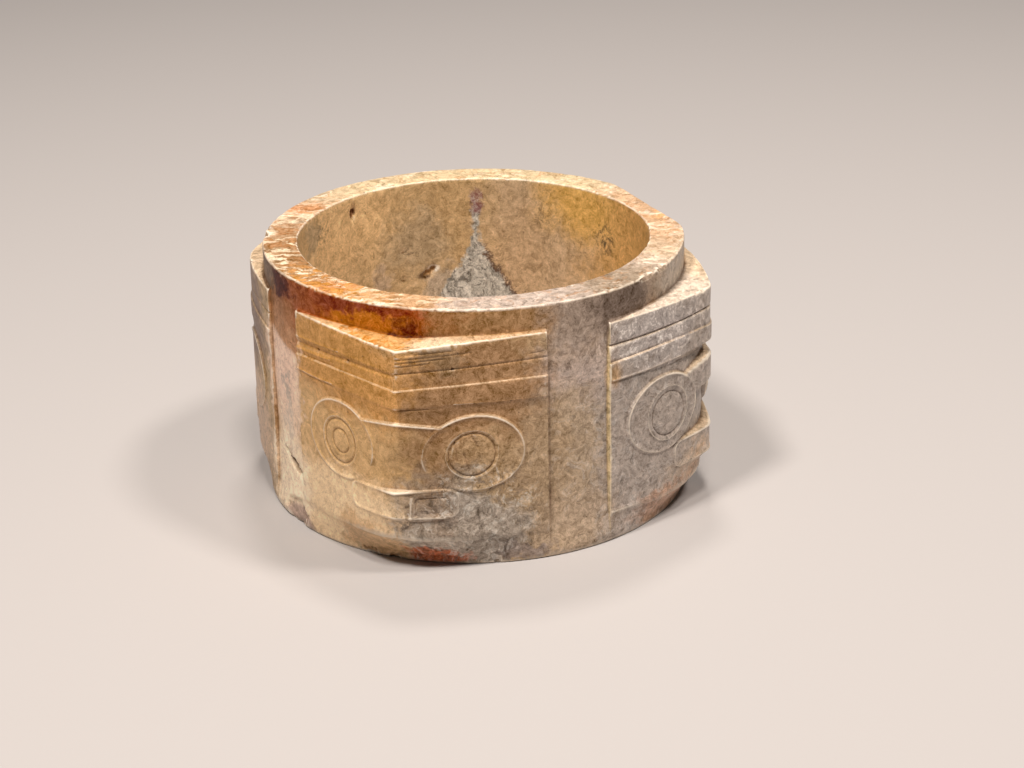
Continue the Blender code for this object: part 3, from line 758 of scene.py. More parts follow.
def settle_mesh(piece):
    """Thins the piece to its share of triangles and turns it into a plain, smooth mesh."""
    fewer = piece.modifiers.new("fewer_faces", "DECIMATE")
    fewer.ratio = MOST_TRIANGLES / (2 * len(piece.data.polygons))
    mesh = bpy.data.meshes.new_from_object(piece.evaluated_get(bpy.context.evaluated_depsgraph_get()))
    piece.modifiers.clear()
    piece.data = mesh
    mesh.name = piece.name
    mesh.shade_smooth()


def mark_edges(piece):
    """Notes how far each point lies on an edge, above zero, or sunk in, below, for the pale edges and the
    painted shade.
    """
    mesh = piece.data
    points = np.empty(len(mesh.vertices) * 3)
    normals = np.empty(len(mesh.vertices) * 3)
    pairs = np.empty(len(mesh.edges) * 2, dtype=np.int32)
    mesh.vertices.foreach_get("co", points)
    mesh.vertices.foreach_get("normal", normals)
    mesh.edges.foreach_get("vertices", pairs)
    points, normals, pairs = points.reshape(-1, 3), normals.reshape(-1, 3), pairs.reshape(-1, 2)
    ends = np.concatenate([pairs, pairs[:, ::-1]])
    apart = points[ends[:, 1]] - points[ends[:, 0]]
    length = np.maximum(np.linalg.norm(apart, axis=1), 0.0001)
    bend = -(apart * normals[ends[:, 0]]).sum(1) / length
    count = np.maximum(np.bincount(ends[:, 0], minlength=len(points)), 1)
    relief = np.bincount(ends[:, 0], bend, len(points)) / count
    for _ in range(2):
        around = np.bincount(ends[:, 0], relief[ends[:, 1]], len(points)) / count
        relief = (relief + around) / 2
    mesh.attributes.new("relief", "FLOAT", "POINT").data.foreach_set("value", relief.astype(np.float32))


# The stone's colours and finish


def patch(tree, place, azimuth, depth, reach, radius=COLLAR_RADIUS, edge=0.25, strength=1.0):
    """Share of a patch: all of it within its reach level and down from its centre, then fading."""
    centre = on_tube(azimuth, depth, radius)
    scale = (1 / reach[0], 1 / reach[0], 1 / reach[1])
    shift = tuple(-middle * share for middle, share in zip(centre, scale))
    near = add(tree, "VectorMath", {0: place, 1: scale, 2: shift}, operation="MULTIPLY_ADD")
    distance = add(tree, "VectorMath", {0: near}, operation="LENGTH")
    feeds = {"Value": distance, "From Min": 1 + edge, "From Max": 1 - edge, "To Max": strength}
    return add(tree, "MapRange", feeds, interpolation_type="SMOOTHSTEP")


def clouded(tree, at, first, second, stains=(), radius=COLLAR_RADIUS):
    """Two colours that pass into each other in clouds, with a table of stains laid over them, in order."""
    colour = add(tree, "Mix", {0: at.clouds, 6: linear(first), 7: linear(second)}, data_type="RGBA")
    for paint, azimuth, depth, reach, edge, strength, *spread in stains:
        place = at.firm if "firm" in spread else at.ragged
        share = patch(tree, place, azimuth, depth, reach, radius, edge, strength)
        colour = add(tree, "Mix", {0: share, 6: colour, 7: linear(paint)}, data_type="RGBA")
    return colour


def mottled(tree, colour, pattern, strength):
    """Lays light and dark over a colour by a pattern, mostly as more or less of it and a little as grey."""
    feeds = {"Value": pattern, "To Min": 1 - strength, "To Max": 1 + strength}
    value = add(tree, "MapRange", feeds, clamp=False)
    colour = add(tree, "HueSaturation", {"Color": colour, "Value": value})
    feeds = {0: 0.08 * strength, 6: colour, 7: pattern}
    return add(tree, "Mix", feeds, data_type="RGBA", blend_type="LINEAR_LIGHT", clamp_result=True)


def veined(tree, colour, where, pattern, low, high, paint, strength):
    """Lays paint where a pattern passes from one level to another, within a place's share."""
    feeds = {"Value": pattern, "From Min": low, "From Max": high, "To Max": strength}
    share = add(tree, "MapRange", feeds)
    share = add(tree, "Math", {0: share, 1: where}, operation="MULTIPLY")
    return add(tree, "Mix", {0: share, 6: colour, 7: linear(paint)}, data_type="RGBA")


def thin_line(tree, stone, colour, azimuth, depth, tilt, reach, paint, strength):
    """Lays a thin line of paint over a colour. Its reach is half its width and half its length."""
    turn = (radians(tilt), 0, radians(azimuth))
    centre = tuple(on_tube(azimuth, depth))
    feeds = {"Vector": stone, "Location": centre, "Rotation": turn, "Scale": (5, *reach)}
    near = add(tree, "Mapping", feeds, vector_type="TEXTURE")
    distance = add(tree, "VectorMath", {0: near}, operation="LENGTH")
    feeds = {"Value": distance, "From Min": 1.3, "From Max": 0.6, "To Max": strength}
    share = add(tree, "MapRange", feeds)
    return add(tree, "Mix", {0: share, 6: colour, 7: linear(paint)}, data_type="RGBA")


NEPHRITE_IOR = 1.61

# Where stains on the ledges and the rim lie, and the edges of the bare strips that the painted highlight on
# crests leaves out, off the axis
LEDGE_RADIUS = 67.0
RIM_RADIUS = 59.0
STRIP_EDGE_RADIUS = 65.0

# How much lower the collar's colour ends on the bare strips
COLLAR_FALL = 11.0

# Thin lines of paint: azimuth, depth, tilt, half width and half length, paint and strength
THIN_LINES = (
    # Painted highlight down the edge where the panel on the right ends at its bare strip
    (-81.0, 38, 0, (0.5, 34), "#d8bd8a", 0.8),
    (171.2, 42, 0, (0.6, 28), "#ad8257", 0.75),
    (-177.1, 60.5, 62, (0.5, 7.8), "#6b4a34", 0.85),
    (-176.4, 60.9, 62, (1.2, 2.8), "#543826", 0.9),
    # Painted shadow down the step where the panel right of the front corner ends at its bare strip
    (-98.4, 42, 0, (0.25, 32), "#7b6450", 0.5),
)

# Stains, in the order they are laid: paint, azimuth, depth, reach level and down, how far the edge fades and
# strength. They spread raggedly, except where a row ends in firm.
OUTSIDE_STAINS = (
    # The right half has turned grey and mauve
    ("#ada096", -58, 40, (46, 62), 0.3, 0.95),
    ("#c2ada0", -91, 20, (13, 15), 0.4, 0.85),
    ("#b79e80", -93, 46, (11, 20), 0.4, 0.85),
    ("#b89f84", -93, 70, (14, 12), 0.4, 0.8),
    ("#bcb1ab", -64, 17, (15, 10), 0.4, 0.8),
    ("#c4ab91", -50, 66, (14, 12), 0.35, 0.8),
    # Honey on the left face of the front corner, paler low down
    ("#cf9856", -151, 22, (30, 18), 0.35, 0.95),
    ("#d3aa74", -154, 46, (30, 15), 0.35, 0.9),
    ("#f6d5aa", -152, 66, (34, 14), 0.35, 0.9),
    # Brown above on the right face of the front corner, grey-green veined stone below
    ("#a67f58", -117, 26, (20, 22), 0.3, 0.95),
    ("#8f7657", -128, 13, (8, 5), 0.3, 0.8),
    ("#ba9a72", -117, 43, (12, 9), 0.4, 0.75),
    ("#ad9170", -101, 46, (10, 18), 0.4, 0.8),
    ("#a5937f", -128, 54, (14, 10), 0.25, 0.85),
    ("#ada092", -121, 67, (19, 12), 0.2, 0.9),
    ("#cda474", -145, 72, (11, 9), 0.2, 0.7),
    ("#8b7c75", -107, 76, (9, 3.6), 0.3, 0.8),
    ("#cc6a3e", -128, 76.5, (9, 4), 0.3, 0.9),
    # Pale bare strip on the left, with a brown stain that ends crisply, a mauve vein and a flaked foot
    ("#ecccb0", 180, 34, (12, 24), 0.2, 0.95),
    ("#ffe4c4", 180, 66, (14, 15), 0.3, 0.9),
    ("#f0cab2", 178, 28, (9, 15), 0.4, 0.8, "firm"),
    ("#ab9a8c", -178, 37, (3.0, 5.5), 0.35, 0.75),
    ("#cdbcaa", -179, 48, (3.4, 9), 0.5, 0.6),
    ("#a78c80", -174, 79, (9.0, 5.4), 0.15, 0.85, "firm"),
    ("#c6914e", -153, 18, (21, 11), 0.3, 0.85),
    # Left edge: dark above, paler below
    ("#7f6457", 152, 24, (17, 18), 0.3, 0.9),
    ("#c8a88c", 152, 58, (17, 16), 0.3, 0.8),
    # Tan and red low on the right
    ("#c2977a", -56, 74, (19, 6.4), 0.35, 0.8),
    ("#ab8463", -58, 77, (12, 2.4), 0.4, 0.5),
    ("#cfa883", -48, 63, (8, 13), 0.35, 0.8),
    # Round the back: grey clouds and iron stain in keeping
    ("#a4978b", 40, 52, (30, 26), 0.35, 0.85),
    ("#b98f5c", 92, 30, (24, 30), 0.4, 0.7),
    ("#8c7a6c", -8, 20, (18, 24), 0.35, 0.7),
    ("#b3845a", 12, 72, (22, 10), 0.35, 0.7),
    # Amber where the panel on the right ends at the bare strip
    ("#bd9258", -79.5, 26, (2.6, 4.2), 0.4, 0.7, "firm"),
)
# Round the collar, above the ledges: iron stain, orange, then red-brown and nearly black at its left end
COLLAR_STAINS = (
    ("#a08d7e", -86, 4, (24, 12), 0.35, 0.9),
    ("#6e5c4f", -76, 4, (11, 11), 0.4, 0.9),
    ("#aea397", -47, 7, (15, 9), 0.5, 0.85),
    ("#a57d50", -116, 5, (20, 12), 0.3, 0.9),
    ("#a24a12", -149, 6, (22, 14), 0.2, 0.95),
    ("#c47a1a", -146, 7.5, (16, 4.4), 0.4, 0.85),
    ("#7c3414", -153, 1, (18, 2.6), 0.5, 0.85),
    ("#5f2109", -136, 7, (4.6, 3.0), 0.5, 0.85),
    ("#95602f", -124, 4, (6, 5), 0.5, 0.5),
    ("#99522a", -171, 7, (11, 12), 0.4, 0.95),
    ("#5f4430", 169, 5, (12, 8), 0.4, 0.85),
    ("#9a6439", 178, 14, (9.5, 7), 0.35, 0.9),
    ("#4a1609", 180, 5, (6.4, 5.4), 0.35, 0.95),
    ("#96633c", 100, 5, (22, 6), 0.35, 0.75),
)
LEDGE_STAINS = (
    ("#be8846", -140, 10, (10, 9), 0.4, 0.8),
    ("#c29a74", -112, 10, (12, 9), 0.4, 0.65),
    ("#d8a873", -160, 10, (12, 9), 0.4, 0.7),
    ("#c6b6a6", -58, 10, (22, 9), 0.4, 0.8),
)
RIM_STAINS = (
    ("#ab9c92", -100, 0, (44, 9), 0.3, 0.85),
    ("#86735c", -74, 0, (14, 9), 0.4, 0.75),
    ("#bb936a", -148, 0, (22, 9), 0.3, 0.9),
    ("#b5651f", -164, 0, (9, 9), 0.4, 0.7),
    ("#8d6d4c", 172, 0, (24, 9), 0.3, 0.9),
    ("#b56c30", 127, 1, (7, 5), 0.5, 0.7),
    ("#c6b08a", 64, 0, (50, 9), 0.3, 0.8),
    ("#c09874", -12, 0, (24, 9), 0.4, 0.7),
    ("#c98d4d", -14, 2, (3.5, 4), 0.5, 0.6),
)
BORE_STAINS = (
    ("#ecc590", 116, 14, (22, 26), 0.35, 0.85),
    ("#b99c74", 92, 34, (26, 18), 0.4, 0.6),
    ("#b6a08c", 97, 34, (4, 8), 0.5, 0.6),
    ("#a8967c", 84, 20, (11, 10), 0.5, 0.5),
    ("#c7ac8c", 30, 22, (26, 40), 0.35, 0.8),
    ("#d6a55f", -8, 24, (24, 60), 0.6, 0.85),
    ("#e0b15f", 22, 6, (14, 11), 0.75, 0.9),
    ("#bf9d75", 46, 30, (12, 20), 0.5, 0.5),
    ("#a8977c", 134, 7, (5, 6), 0.4, 0.6),
    ("#b49a84", 92, 66, (60, 20), 0.4, 0.6),
    ("#b7a794", 75, 38, (8, 7), 0.5, 0.7),
    # Pit in the bore: dark at one end and pale in the middle
    ("#5a4331", 80.8, 32.4, (2.0, 1.4), 0.4, 0.9, "firm"),
    ("#f0e6d6", 77.4, 30.3, (1.9, 1.1), 0.4, 0.9, "firm"),
)
# The grey wedge in the bore: the azimuth that it runs down, its widest half width, what all its half widths
# lose, and the share of the widest at each depth
WEDGE_AZIMUTH = 62.0
WEDGE_HALF_WIDTH = 32.0
WEDGE_LOSS = 1.3
WEDGE_SHAPE = (
    (0, 0.0), (5, 0.0), (8, 0.07), (11, 0.09), (13, 0.075), (15, 0.085), (18, 0.07), (21, 0.085), (24, 0.12),
    (29, 0.2), (34, 0.31), (40, 0.44), (79, 1.0),
)

# Dark mottled spots in the bore: azimuth, depth, reach and strength
BORE_SPOTS = (
    (11, 15, (4.0, 5.0), 0.9),
    (37, 11, (3.5, 4.5), 0.4),
    (86, 23.5, (2, 1.8), 0.7),
    (126, 8, (4, 4), 0.5),
)


def stone_patterns(tree):
    """What colours are laid by: places on the stone in millimetres, its edges and hollows, the share of the
    bare strips, and patterns whose scales are cells to a millimetre."""
    coordinates = add(tree, "TexCoord").node.outputs["Object"]
    stone = add(tree, "VectorMath", {0: coordinates, "Scale": 1 / MM}, operation="SCALE")
    relief = add(tree, "Attribute", attribute_name="relief").node.outputs["Fac"]

    # Where stains lie: the true place, pushed about so that their edges run a little unevenly or raggedly
    feeds = {"Vector": stone, "Scale": 0.11, "Detail": 5.0, "Roughness": 0.6}
    drift = add(tree, "TexNoise", feeds).node.outputs["Color"]
    drift = add(tree, "VectorMath", {0: drift, 1: (0.5, 0.5, 0.5)}, operation="SUBTRACT")
    swirl = add(tree, "TexNoise", {"Vector": stone, "Scale": 0.42, "Detail": 3.0}).node.outputs["Color"]
    swirl = add(tree, "VectorMath", {0: swirl, 1: (0.5, 0.5, 0.5)}, operation="SUBTRACT")
    firm = add(tree, "VectorMath", {0: swirl, 1: (1.6, 1.6, 1.6), 2: stone}, operation="MULTIPLY_ADD")
    ragged = add(tree, "VectorMath", {0: drift, 1: (17, 17, 17), 2: stone}, operation="MULTIPLY_ADD")
    ragged = add(tree, "VectorMath", {0: swirl, 1: (9, 9, 9), 2: ragged}, operation="MULTIPLY_ADD")

    # Clouds about 10 mm across, curling mottles 0.3 to 4 mm across and as strong at every size, and veins
    clouds = add(tree, "TexNoise", {"Vector": stone, "Scale": 0.1, "Detail": 4.0, "Roughness": 0.6})
    clouds = add(tree, "MapRange", {"Value": clouds, "From Min": 0.36, "From Max": 0.64})
    curled = add(tree, "VectorMath", {0: drift, 1: (11, 11, 11), 2: stone}, operation="MULTIPLY_ADD")
    feeds = {"Vector": curled, "Scale": 0.36, "Detail": 4.0, "Roughness": 0.95, "Distortion": 0.3}
    fibres = add(tree, "TexNoise", feeds)
    feeds = {"Vector": curled, "Scale": 0.2, "Detail": 5.0, "Roughness": 0.75, "Distortion": 1.6}
    veins = add(tree, "TexNoise", feeds)

    # Bare strips down the middle of each side
    off_axes = add(tree, "VectorMath", {0: stone}, operation="ABSOLUTE")
    off_axes = add(tree, "SeparateXYZ", {0: off_axes}).node.outputs
    off_axes = add(tree, "Math", {0: off_axes["X"], 1: off_axes["Y"]}, operation="MINIMUM")
    feeds = {"Value": off_axes, "From Min": STRIP_HALF_WIDTH + 0.3, "From Max": STRIP_HALF_WIDTH - 0.3}
    bare = add(tree, "MapRange", feeds)
    return SimpleNamespace(
        stone=stone, firm=firm, ragged=ragged, swirl=swirl, curled=curled, relief=relief, bare=bare,
        clouds=clouds, fibres=fibres, veins=veins,
    )


def outside_colour(tree, at):
    """Outside: tan ground with its stains, and grey mottling on the right that comes and goes."""
    colour = clouded(tree, at, "#a98a64", "#b99b72", OUTSIDE_STAINS)
    brown = patch(tree, at.firm, -160, 4, (48.4, 21.0), edge=0.05, strength=0.9)
    brown = add(tree, "Math", {0: brown, 1: at.bare}, operation="MULTIPLY")
    colour = add(tree, "Mix", {0: brown, 6: colour, 7: linear("#b27a48")}, data_type="RGBA")
    past_corner = add(tree, "VectorMath", {0: at.stone, 1: (1, -1, 0)}, operation="DOT_PRODUCT")
    past_corner = add(tree, "MapRange", {"Value": past_corner, "From Min": -0.4, "From Max": 0.8})
    shaded = patch(tree, at.ragged, -130, 38, (10.5, 32), edge=0.35, strength=0.65)
    shaded = add(tree, "Math", {0: shaded, 1: past_corner}, operation="MULTIPLY")
    colour = add(tree, "Mix", {0: shaded, 6: colour, 7: linear("#94704b")}, data_type="RGBA")
    right = patch(tree, at.ragged, -52, 40, (48, 60), edge=0.3)
    colour = veined(tree, colour, right, at.veins, 0.53, 0.63, "#cfc8c2", 0.4)
    colour = veined(tree, colour, right, at.veins, 0.46, 0.34, "#83705f", 0.35)
    flecked = patch(tree, at.ragged, -66, 16, (21, 11), edge=0.3)
    colour = veined(tree, colour, flecked, at.fibres, 0.54, 0.61, "#e9e2da", 0.45)

    # Veined stone low on the front corner's right face and round its foot
    foot = patch(tree, at.ragged, -121, 64, (21, 18), edge=0.25)
    colour = veined(tree, colour, foot, at.veins, 0.5, 0.4, "#74675b", 0.75)
    colour = veined(tree, colour, foot, at.veins, 0.53, 0.63, "#d8d0c4", 0.75)
    # Thin lines, among them a painted highlight and a painted shadow where panels end at bare strips
    for azimuth, depth, tilt, reach, paint, strength in THIN_LINES:
        colour = thin_line(tree, at.stone, colour, azimuth, depth, tilt, reach, paint, strength)
    return colour


def ledge_over(tree, at, outside):
    """Lays the ledges' colour over the outside's wherever a face turns up, so that what faces up is painted
    nearly as pale as the rim: the ledges' own stains, with a painted highlight from the light above.
    """
    facing = add(tree, "NewGeometry").node.outputs["Normal"]
    facing = add(tree, "SeparateXYZ", {0: facing}).node.outputs["Z"]
    ledge = clouded(tree, at, "#c0a687", "#cdb393", LEDGE_STAINS, LEDGE_RADIUS)
    rusty = patch(tree, at.ragged, -143, 10, (13, 9), LEDGE_RADIUS, 0.3)
    ledge = veined(tree, ledge, rusty, at.veins, 0.5, 0.42, "#b9701f", 0.85)
    # Painted highlight: the share of the paler ledge colour grows as a face turns up towards the light
    painted_top_light = add(tree, "MapRange", {"Value": facing, "From Min": 0.35, "From Max": 0.8, "To Max": 0.9})
    return add(tree, "Mix", {0: painted_top_light, 6: outside, 7: ledge}, data_type="RGBA")


def collar_share(tree, at, height, radius):
    """Share of the collar's colour: all of it on the tube above the walls, and lower on the bare strips."""
    lowest = {0: at.bare, 1: -COLLAR_FALL, 2: HEIGHT - WALL_TOP_DEPTH - 0.4}
    lowest = add(tree, "Math", lowest, operation="MULTIPLY_ADD")
    above = {"Value": height, "From Min": lowest, "From Max": HEIGHT - WALL_TOP_DEPTH + 0.6}
    above = add(tree, "MapRange", above)
    on_tube_face = {"Value": radius, "From Min": COLLAR_RADIUS + 0.9, "From Max": COLLAR_RADIUS + 0.5}
    on_tube_face = add(tree, "MapRange", on_tube_face)
    return add(tree, "Math", {0: above, 1: on_tube_face}, operation="MULTIPLY")


def rim_colour(tree, at):
    """Rim: paler, cut across the stone's layers, which show as curling streaks, boldest on its left."""
    layers = {"Vector": at.curled, "Rotation": (0, 0, radians(-28)), "Scale": (5.0, 2.0, 3.0)}
    layers = add(tree, "Mapping", layers, vector_type="TEXTURE")
    feeds = {"Vector": layers, "Scale": 0.36, "Detail": 4.0, "Roughness": 0.65, "Distortion": 1.6}
    streaks = add(tree, "TexNoise", feeds)
    rim = clouded(tree, at, "#b9a186", "#c6ad91", RIM_STAINS, RIM_RADIUS)
    streaked = patch(tree, at.ragged, 178, 0, (54, 9), RIM_RADIUS, 0.4)
    rim = veined(tree, rim, streaked, streaks, 0.51, 0.58, "#dcc3a2", 0.85)
    rim = veined(tree, rim, streaked, streaks, 0.49, 0.41, "#96683f", 0.8)
    rusty = patch(tree, at.ragged, -161, 0, (19, 9), RIM_RADIUS, 0.4)
    rim = veined(tree, rim, rusty, streaks, 0.5, 0.44, "#be8540", 0.75)
    rim = veined(tree, rim, 1.0, at.veins, 0.47, 0.36, "#a47142", 0.6)
    rim = veined(tree, rim, 1.0, streaks, 0.55, 0.68, "#f0dcc6", 0.6)
    return mottled(tree, rim, at.fibres, 1.35)


def wedge_over(tree, at, bore, turned):
    """Lays the grey crumbled wedge over the bore: it widens as it goes down, and its right brink is dark."""
    across = add(tree, "Math", {0: turned["Y"]}, operation="ABSOLUTE")
    across = add(tree, "Math", {0: across, 1: WEDGE_LOSS}, operation="ADD")
    down = add(tree, "Math", {0: turned["Z"], 1: -1.0}, operation="MULTIPLY")
    wide = profile(tree, down, WEDGE_SHAPE)
    wide = add(tree, "Math", {0: wide, 1: WEDGE_HALF_WIDTH}, operation="MULTIPLY")
    inside = add(tree, "Math", {0: wide, 1: across}, operation="SUBTRACT")
    wedge = add(tree, "MapRange", {"Value": inside, "From Min": -0.5, "From Max": 0.7})
    grey = mottled(tree, clouded(tree, at, "#b3aea3", "#c3bcb0"), at.fibres, 2.2)
    grey = veined(tree, grey, wedge, at.veins, 0.48, 0.36, "#605a52", 0.9)
    grey = veined(tree, grey, wedge, at.veins, 0.54, 0.64, "#d8d2c6", 0.8)
    bore = add(tree, "Mix", {0: wedge, 6: bore, 7: grey}, data_type="RGBA")
    brink = add(tree, "Math", {0: inside}, operation="ABSOLUTE")
    brink = add(tree, "MapRange", {"Value": brink, "From Min": 1.5, "From Max": 0.5})
    right_side = add(tree, "MapRange", {"Value": turned["Y"], "From Min": -2.2, "From Max": -3.4})
    brink = add(tree, "Math", {0: brink, 1: right_side}, operation="MULTIPLY")
    return veined(tree, bore, brink, at.fibres, 0.6, 0.5, "#5e463a", 0.85)


def bore_colour(tree, at):
    """Bore: khaki, amber on the right, with the grey wedge, a mauve stain beside its top and dark spots."""
    bore = mottled(tree, clouded(tree, at, "#bd9c6f", "#c7a678", BORE_STAINS, BORE_RADIUS), at.fibres, 1.2)
    loose = add(tree, "VectorMath", {0: at.swirl, 1: (5, 5, 5), 2: at.stone}, operation="MULTIPLY_ADD")
    turned = {"Vector": loose, "Location": (0, 0, HEIGHT), "Rotation": (0, 0, radians(WEDGE_AZIMUTH))}
    turned = add(tree, "Mapping", turned, vector_type="TEXTURE")
    turned = add(tree, "SeparateXYZ", {0: turned}).node.outputs
    bore = wedge_over(tree, at, bore, turned)
    mauve = patch(tree, loose, 61.6, 7.6, (2.0, 4.2), BORE_RADIUS, 0.35)
    bore = veined(tree, bore, mauve, at.fibres, 0.4, 0.6, "#b9a49c", 0.9)
    bore = veined(tree, bore, mauve, at.fibres, 0.56, 0.46, "#85504f", 0.9)
    for azimuth, depth, reach, strength in BORE_SPOTS:
        spot = patch(tree, at.firm, azimuth, depth, reach, BORE_RADIUS, 0.5)
        bore = veined(tree, bore, spot, at.fibres, 0.52, 0.42, "#5f5242", strength)
    return bore


def aged_and_painted_light(tree, at, colour):
    """Specks half a millimetre wide, painted shade in the hollows, and edges painted pale, partly as worn
    polish and partly as a painted highlight.
    """
    specks = add(tree, "TexVoronoi", {"Vector": at.firm, "Scale": 0.42})
    chosen = add(tree, "SeparateColor", {0: specks.node.outputs["Color"]})
    chosen = add(tree, "MapRange", {"Value": chosen, "From Min": 0.74, "From Max": 0.95})
    colour = veined(tree, colour, chosen, specks, 0.17, 0.08, "#5b4636", 0.6)
    # Painted shade: points sunk in by the relief are darkened towards a greyish brown
    hollow_shade = {"Value": at.relief, "From Min": -0.03, "From Max": -0.16, "To Max": 0.75}
    hollow_shade = add(tree, "MapRange", hollow_shade)
    feeds = {0: hollow_shade, 6: colour, 7: linear("#9c8470")}
    colour = add(tree, "Mix", feeds, data_type="RGBA", blend_type="MULTIPLY")

    # Edges and crests are painted pale, partly as worn polish and partly as a painted highlight, but not
    # where the panels beside the front corner end at the bare strips
    near_right, near_left = (
        patch(tree, at.stone, azimuth, 40, (1.4, 34), STRIP_EDGE_RADIUS, 0.2) for azimuth in (-98.8, -171.2)
    )
    worn = add(tree, "Math", {0: near_right, 1: near_left}, operation="ADD")
    worn = add(tree, "Math", {0: 1.0, 1: worn}, operation="SUBTRACT", use_clamp=True)
    return veined(tree, colour, worn, at.relief, 0.055, 0.13, "#f2e4d0", 0.85)


def polish(tree, at, colour, shader):
    """Satin polish, duller in places and dulled by iron stain, over fibres that stand a few hundredths of a
    millimetre proud."""
    blue = add(tree, "SeparateColor", {0: colour}).node.outputs["Blue"]
    shine = {"Value": blue, "From Min": 0.02, "From Max": 0.25, "To Min": 0.05, "To Max": 0.34}
    tree.links.new(add(tree, "MapRange", shine), shader.inputs["Specular IOR Level"])
    dull = {"Value": at.fibres, "From Min": 0.35, "From Max": 0.65, "To Min": 0.34, "To Max": 0.5}
    tree.links.new(add(tree, "MapRange", dull), shader.inputs["Roughness"])
    feeds = {"Height": at.fibres, "Strength": 0.6, "Distance": 0.12 * MM}
    tree.links.new(add(tree, "Bump", feeds), shader.inputs["Normal"])


def jade():
    """Nephrite, altered by burial and polished: opaque, tan and mottled, with grey veins and iron stains that
    end in ragged edges, a satin shine, and fine fibres in the stone that catch the light unevenly."""
    material = bpy.data.materials.new("altered_nephrite_polished")
    material.use_nodes = True
    tree = material.node_tree
    shader = tree.nodes["Principled BSDF"]
    shader.inputs["IOR"].default_value = NEPHRITE_IOR
    at = stone_patterns(tree)

    # Outside, ledges and collar
    outside = outside_colour(tree, at)
    height = add(tree, "SeparateXYZ", {0: at.stone}).node.outputs["Z"]
    outside = ledge_over(tree, at, outside)
    collar = clouded(tree, at, "#9c8064", "#ad9172", COLLAR_STAINS)
    level = add(tree, "VectorMath", {0: at.stone, 1: (1, 1, 0)}, operation="MULTIPLY")
    radius = add(tree, "VectorMath", {0: level}, operation="LENGTH")
    on_collar = collar_share(tree, at, height, radius)
    outside = add(tree, "Mix", {0: on_collar, 6: outside, 7: collar}, data_type="RGBA")
    calm = patch(tree, at.ragged, -158, 46, (34, 40), edge=0.35, strength=0.35)
    lively = mottled(tree, outside, at.fibres, 1.45)
    outside = add(tree, "Mix", {0: calm, 6: lively, 7: outside}, data_type="RGBA")

    # Rim and bore, which take over at the tube's edges
    rim, bore = rim_colour(tree, at), bore_colour(tree, at)
    on_rim = add(tree, "MapRange", {"Value": height, "From Min": HEIGHT - 0.9, "From Max": HEIGHT - 0.3})
    in_bore = {"Value": radius, "From Min": BORE_RADIUS + 0.8, "From Max": BORE_RADIUS + 0.3}
    in_bore = add(tree, "MapRange", in_bore)
    colour = add(tree, "Mix", {0: in_bore, 6: outside, 7: bore}, data_type="RGBA")
    colour = add(tree, "Mix", {0: on_rim, 6: colour, 7: rim}, data_type="RGBA")

    colour = aged_and_painted_light(tree, at, colour)
    tree.links.new(colour, shader.inputs["Base Color"])
    polish(tree, at, colour, shader)
    return material


def floor_material():
    """Plain floor: matt pale paint, so that only the shadow shows on it."""
    material = bpy.data.materials.new("matt_pale_floor")
    material.use_nodes = True
    shader = material.node_tree.nodes["Principled BSDF"]
    shader.inputs["Base Color"].default_value = linear("#ada8a6")
    shader.inputs["Roughness"].default_value = 0.9
    return material


# Studio: distances in metres

FLOOR_RADIUS = 4.0

# The camera looks from a distance at the rim's middle, and is then turned off it, tilted and rolled
CAMERA_AZIMUTH = -117.1
CAMERA_ELEVATION = 19.47
CAMERA_DISTANCE = 0.6955
CAMERA_TURN = -0.88
CAMERA_TILT = -3.81
CAMERA_ROLL = -1.3
CAMERA_LENS = 80.19
CAMERA_SENSOR = 36.0

# Round lamps in a ring overhead: name, azimuth, elevation and watts
LIGHTS = (
    ("key", -158, 63, 12.2),
    ("front", -105, 69, 7.5),
    ("right", -42, 61, 7.6),
    ("back", 60, 70, 6.0),
)
LIGHT_DISTANCE = 1.25
LIGHT_SIZE = 0.2
ROOM_LIGHT = 0.06


def outwards(azimuth, elevation):
    """Direction out from the stone's middle, at an azimuth and elevation."""
    along, up = radians(azimuth), radians(elevation)
    return Vector((cos(up) * cos(along), cos(up) * sin(along), sin(up)))


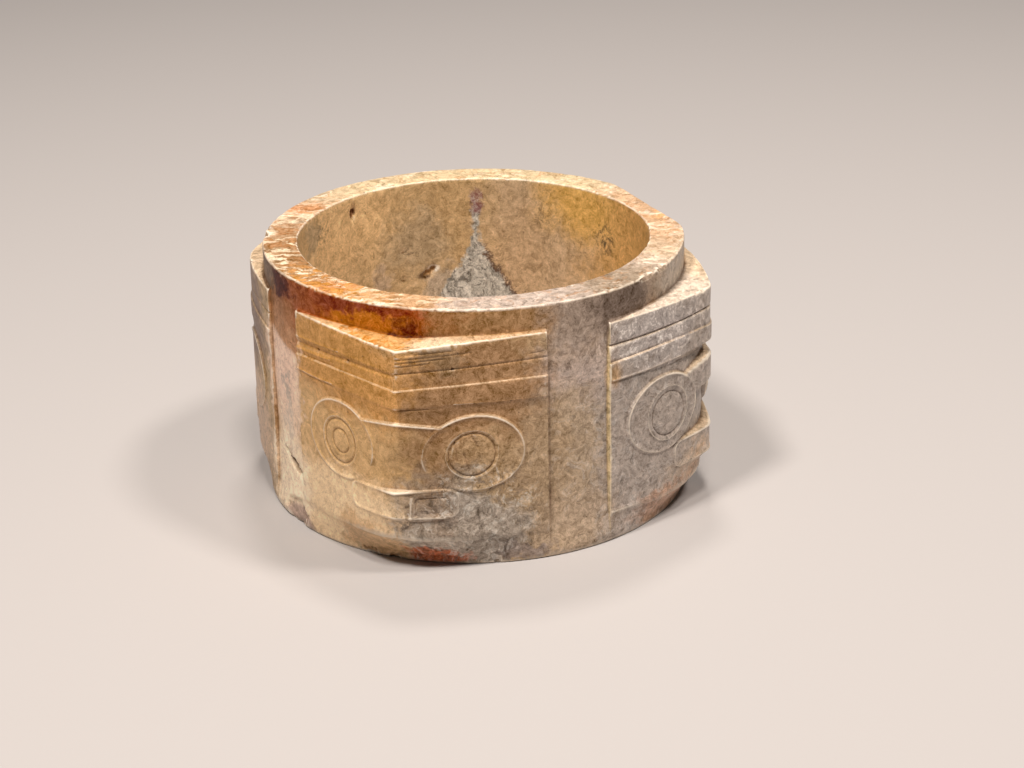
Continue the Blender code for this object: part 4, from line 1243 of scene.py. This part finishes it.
def make_floor():
    bpy.ops.mesh.primitive_circle_add(vertices=64, radius=FLOOR_RADIUS, fill_type="NGON")
    floor = bpy.context.object
    floor.name = "studio_floor"
    floor.data.materials.append(floor_material())


def make_camera():
    """Camera above the front corner, a little to its right, looking down into the bore, slightly rolled."""
    out = outwards(CAMERA_AZIMUTH, CAMERA_ELEVATION)
    right = Vector((-sin(radians(CAMERA_AZIMUTH)), cos(radians(CAMERA_AZIMUTH)), 0))
    pose = Matrix((right, out.cross(right), out)).transposed()
    for angle, axis in ((CAMERA_TURN, "Y"), (CAMERA_TILT, "X"), (CAMERA_ROLL, "Z")):
        pose = pose @ Matrix.Rotation(radians(angle), 3, axis)
    data = bpy.data.cameras.new("camera")
    data.lens = CAMERA_LENS
    data.sensor_width = CAMERA_SENSOR
    camera = bpy.data.objects.new("camera", data)
    rim_centre = Vector((0, 0, HEIGHT * MM))
    camera.matrix_world = Matrix.Translation(rim_centre + out * CAMERA_DISTANCE) @ pose.to_4x4()
    bpy.context.scene.collection.objects.link(camera)
    bpy.context.scene.camera = camera


def add_light(name, azimuth, elevation, power):
    data = bpy.data.lights.new(name, "AREA")
    data.shape = "DISK"
    data.size = LIGHT_SIZE
    data.energy = power
    data.color = linear("#fff7ef")[:3]
    light = bpy.data.objects.new(name, data)
    out = outwards(azimuth, elevation)
    light.location = Vector((0, 0, HEIGHT * MM / 2)) + out * LIGHT_DISTANCE
    light.rotation_euler = out.to_track_quat("Z", "Y").to_euler()
    bpy.context.scene.collection.objects.link(light)


def make_studio():
    make_floor()
    make_camera()
    scene = bpy.context.scene
    scene.view_settings.view_transform = "Standard"
    world = bpy.data.worlds.new("studio")
    world.use_nodes = True
    background = world.node_tree.nodes["Background"]
    background.inputs["Color"].default_value = linear("#d2d0cf")
    background.inputs["Strength"].default_value = ROOM_LIGHT
    scene.world = world
    for name, azimuth, elevation, power in LIGHTS:
        add_light(name, azimuth, elevation, power)


def make_cong():
    piece = make_skin()
    carve(piece, jade())
    settle_mesh(piece)
    mark_edges(piece)
    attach(piece, "root")
    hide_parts("jade_cong")


make_cong()
make_studio()
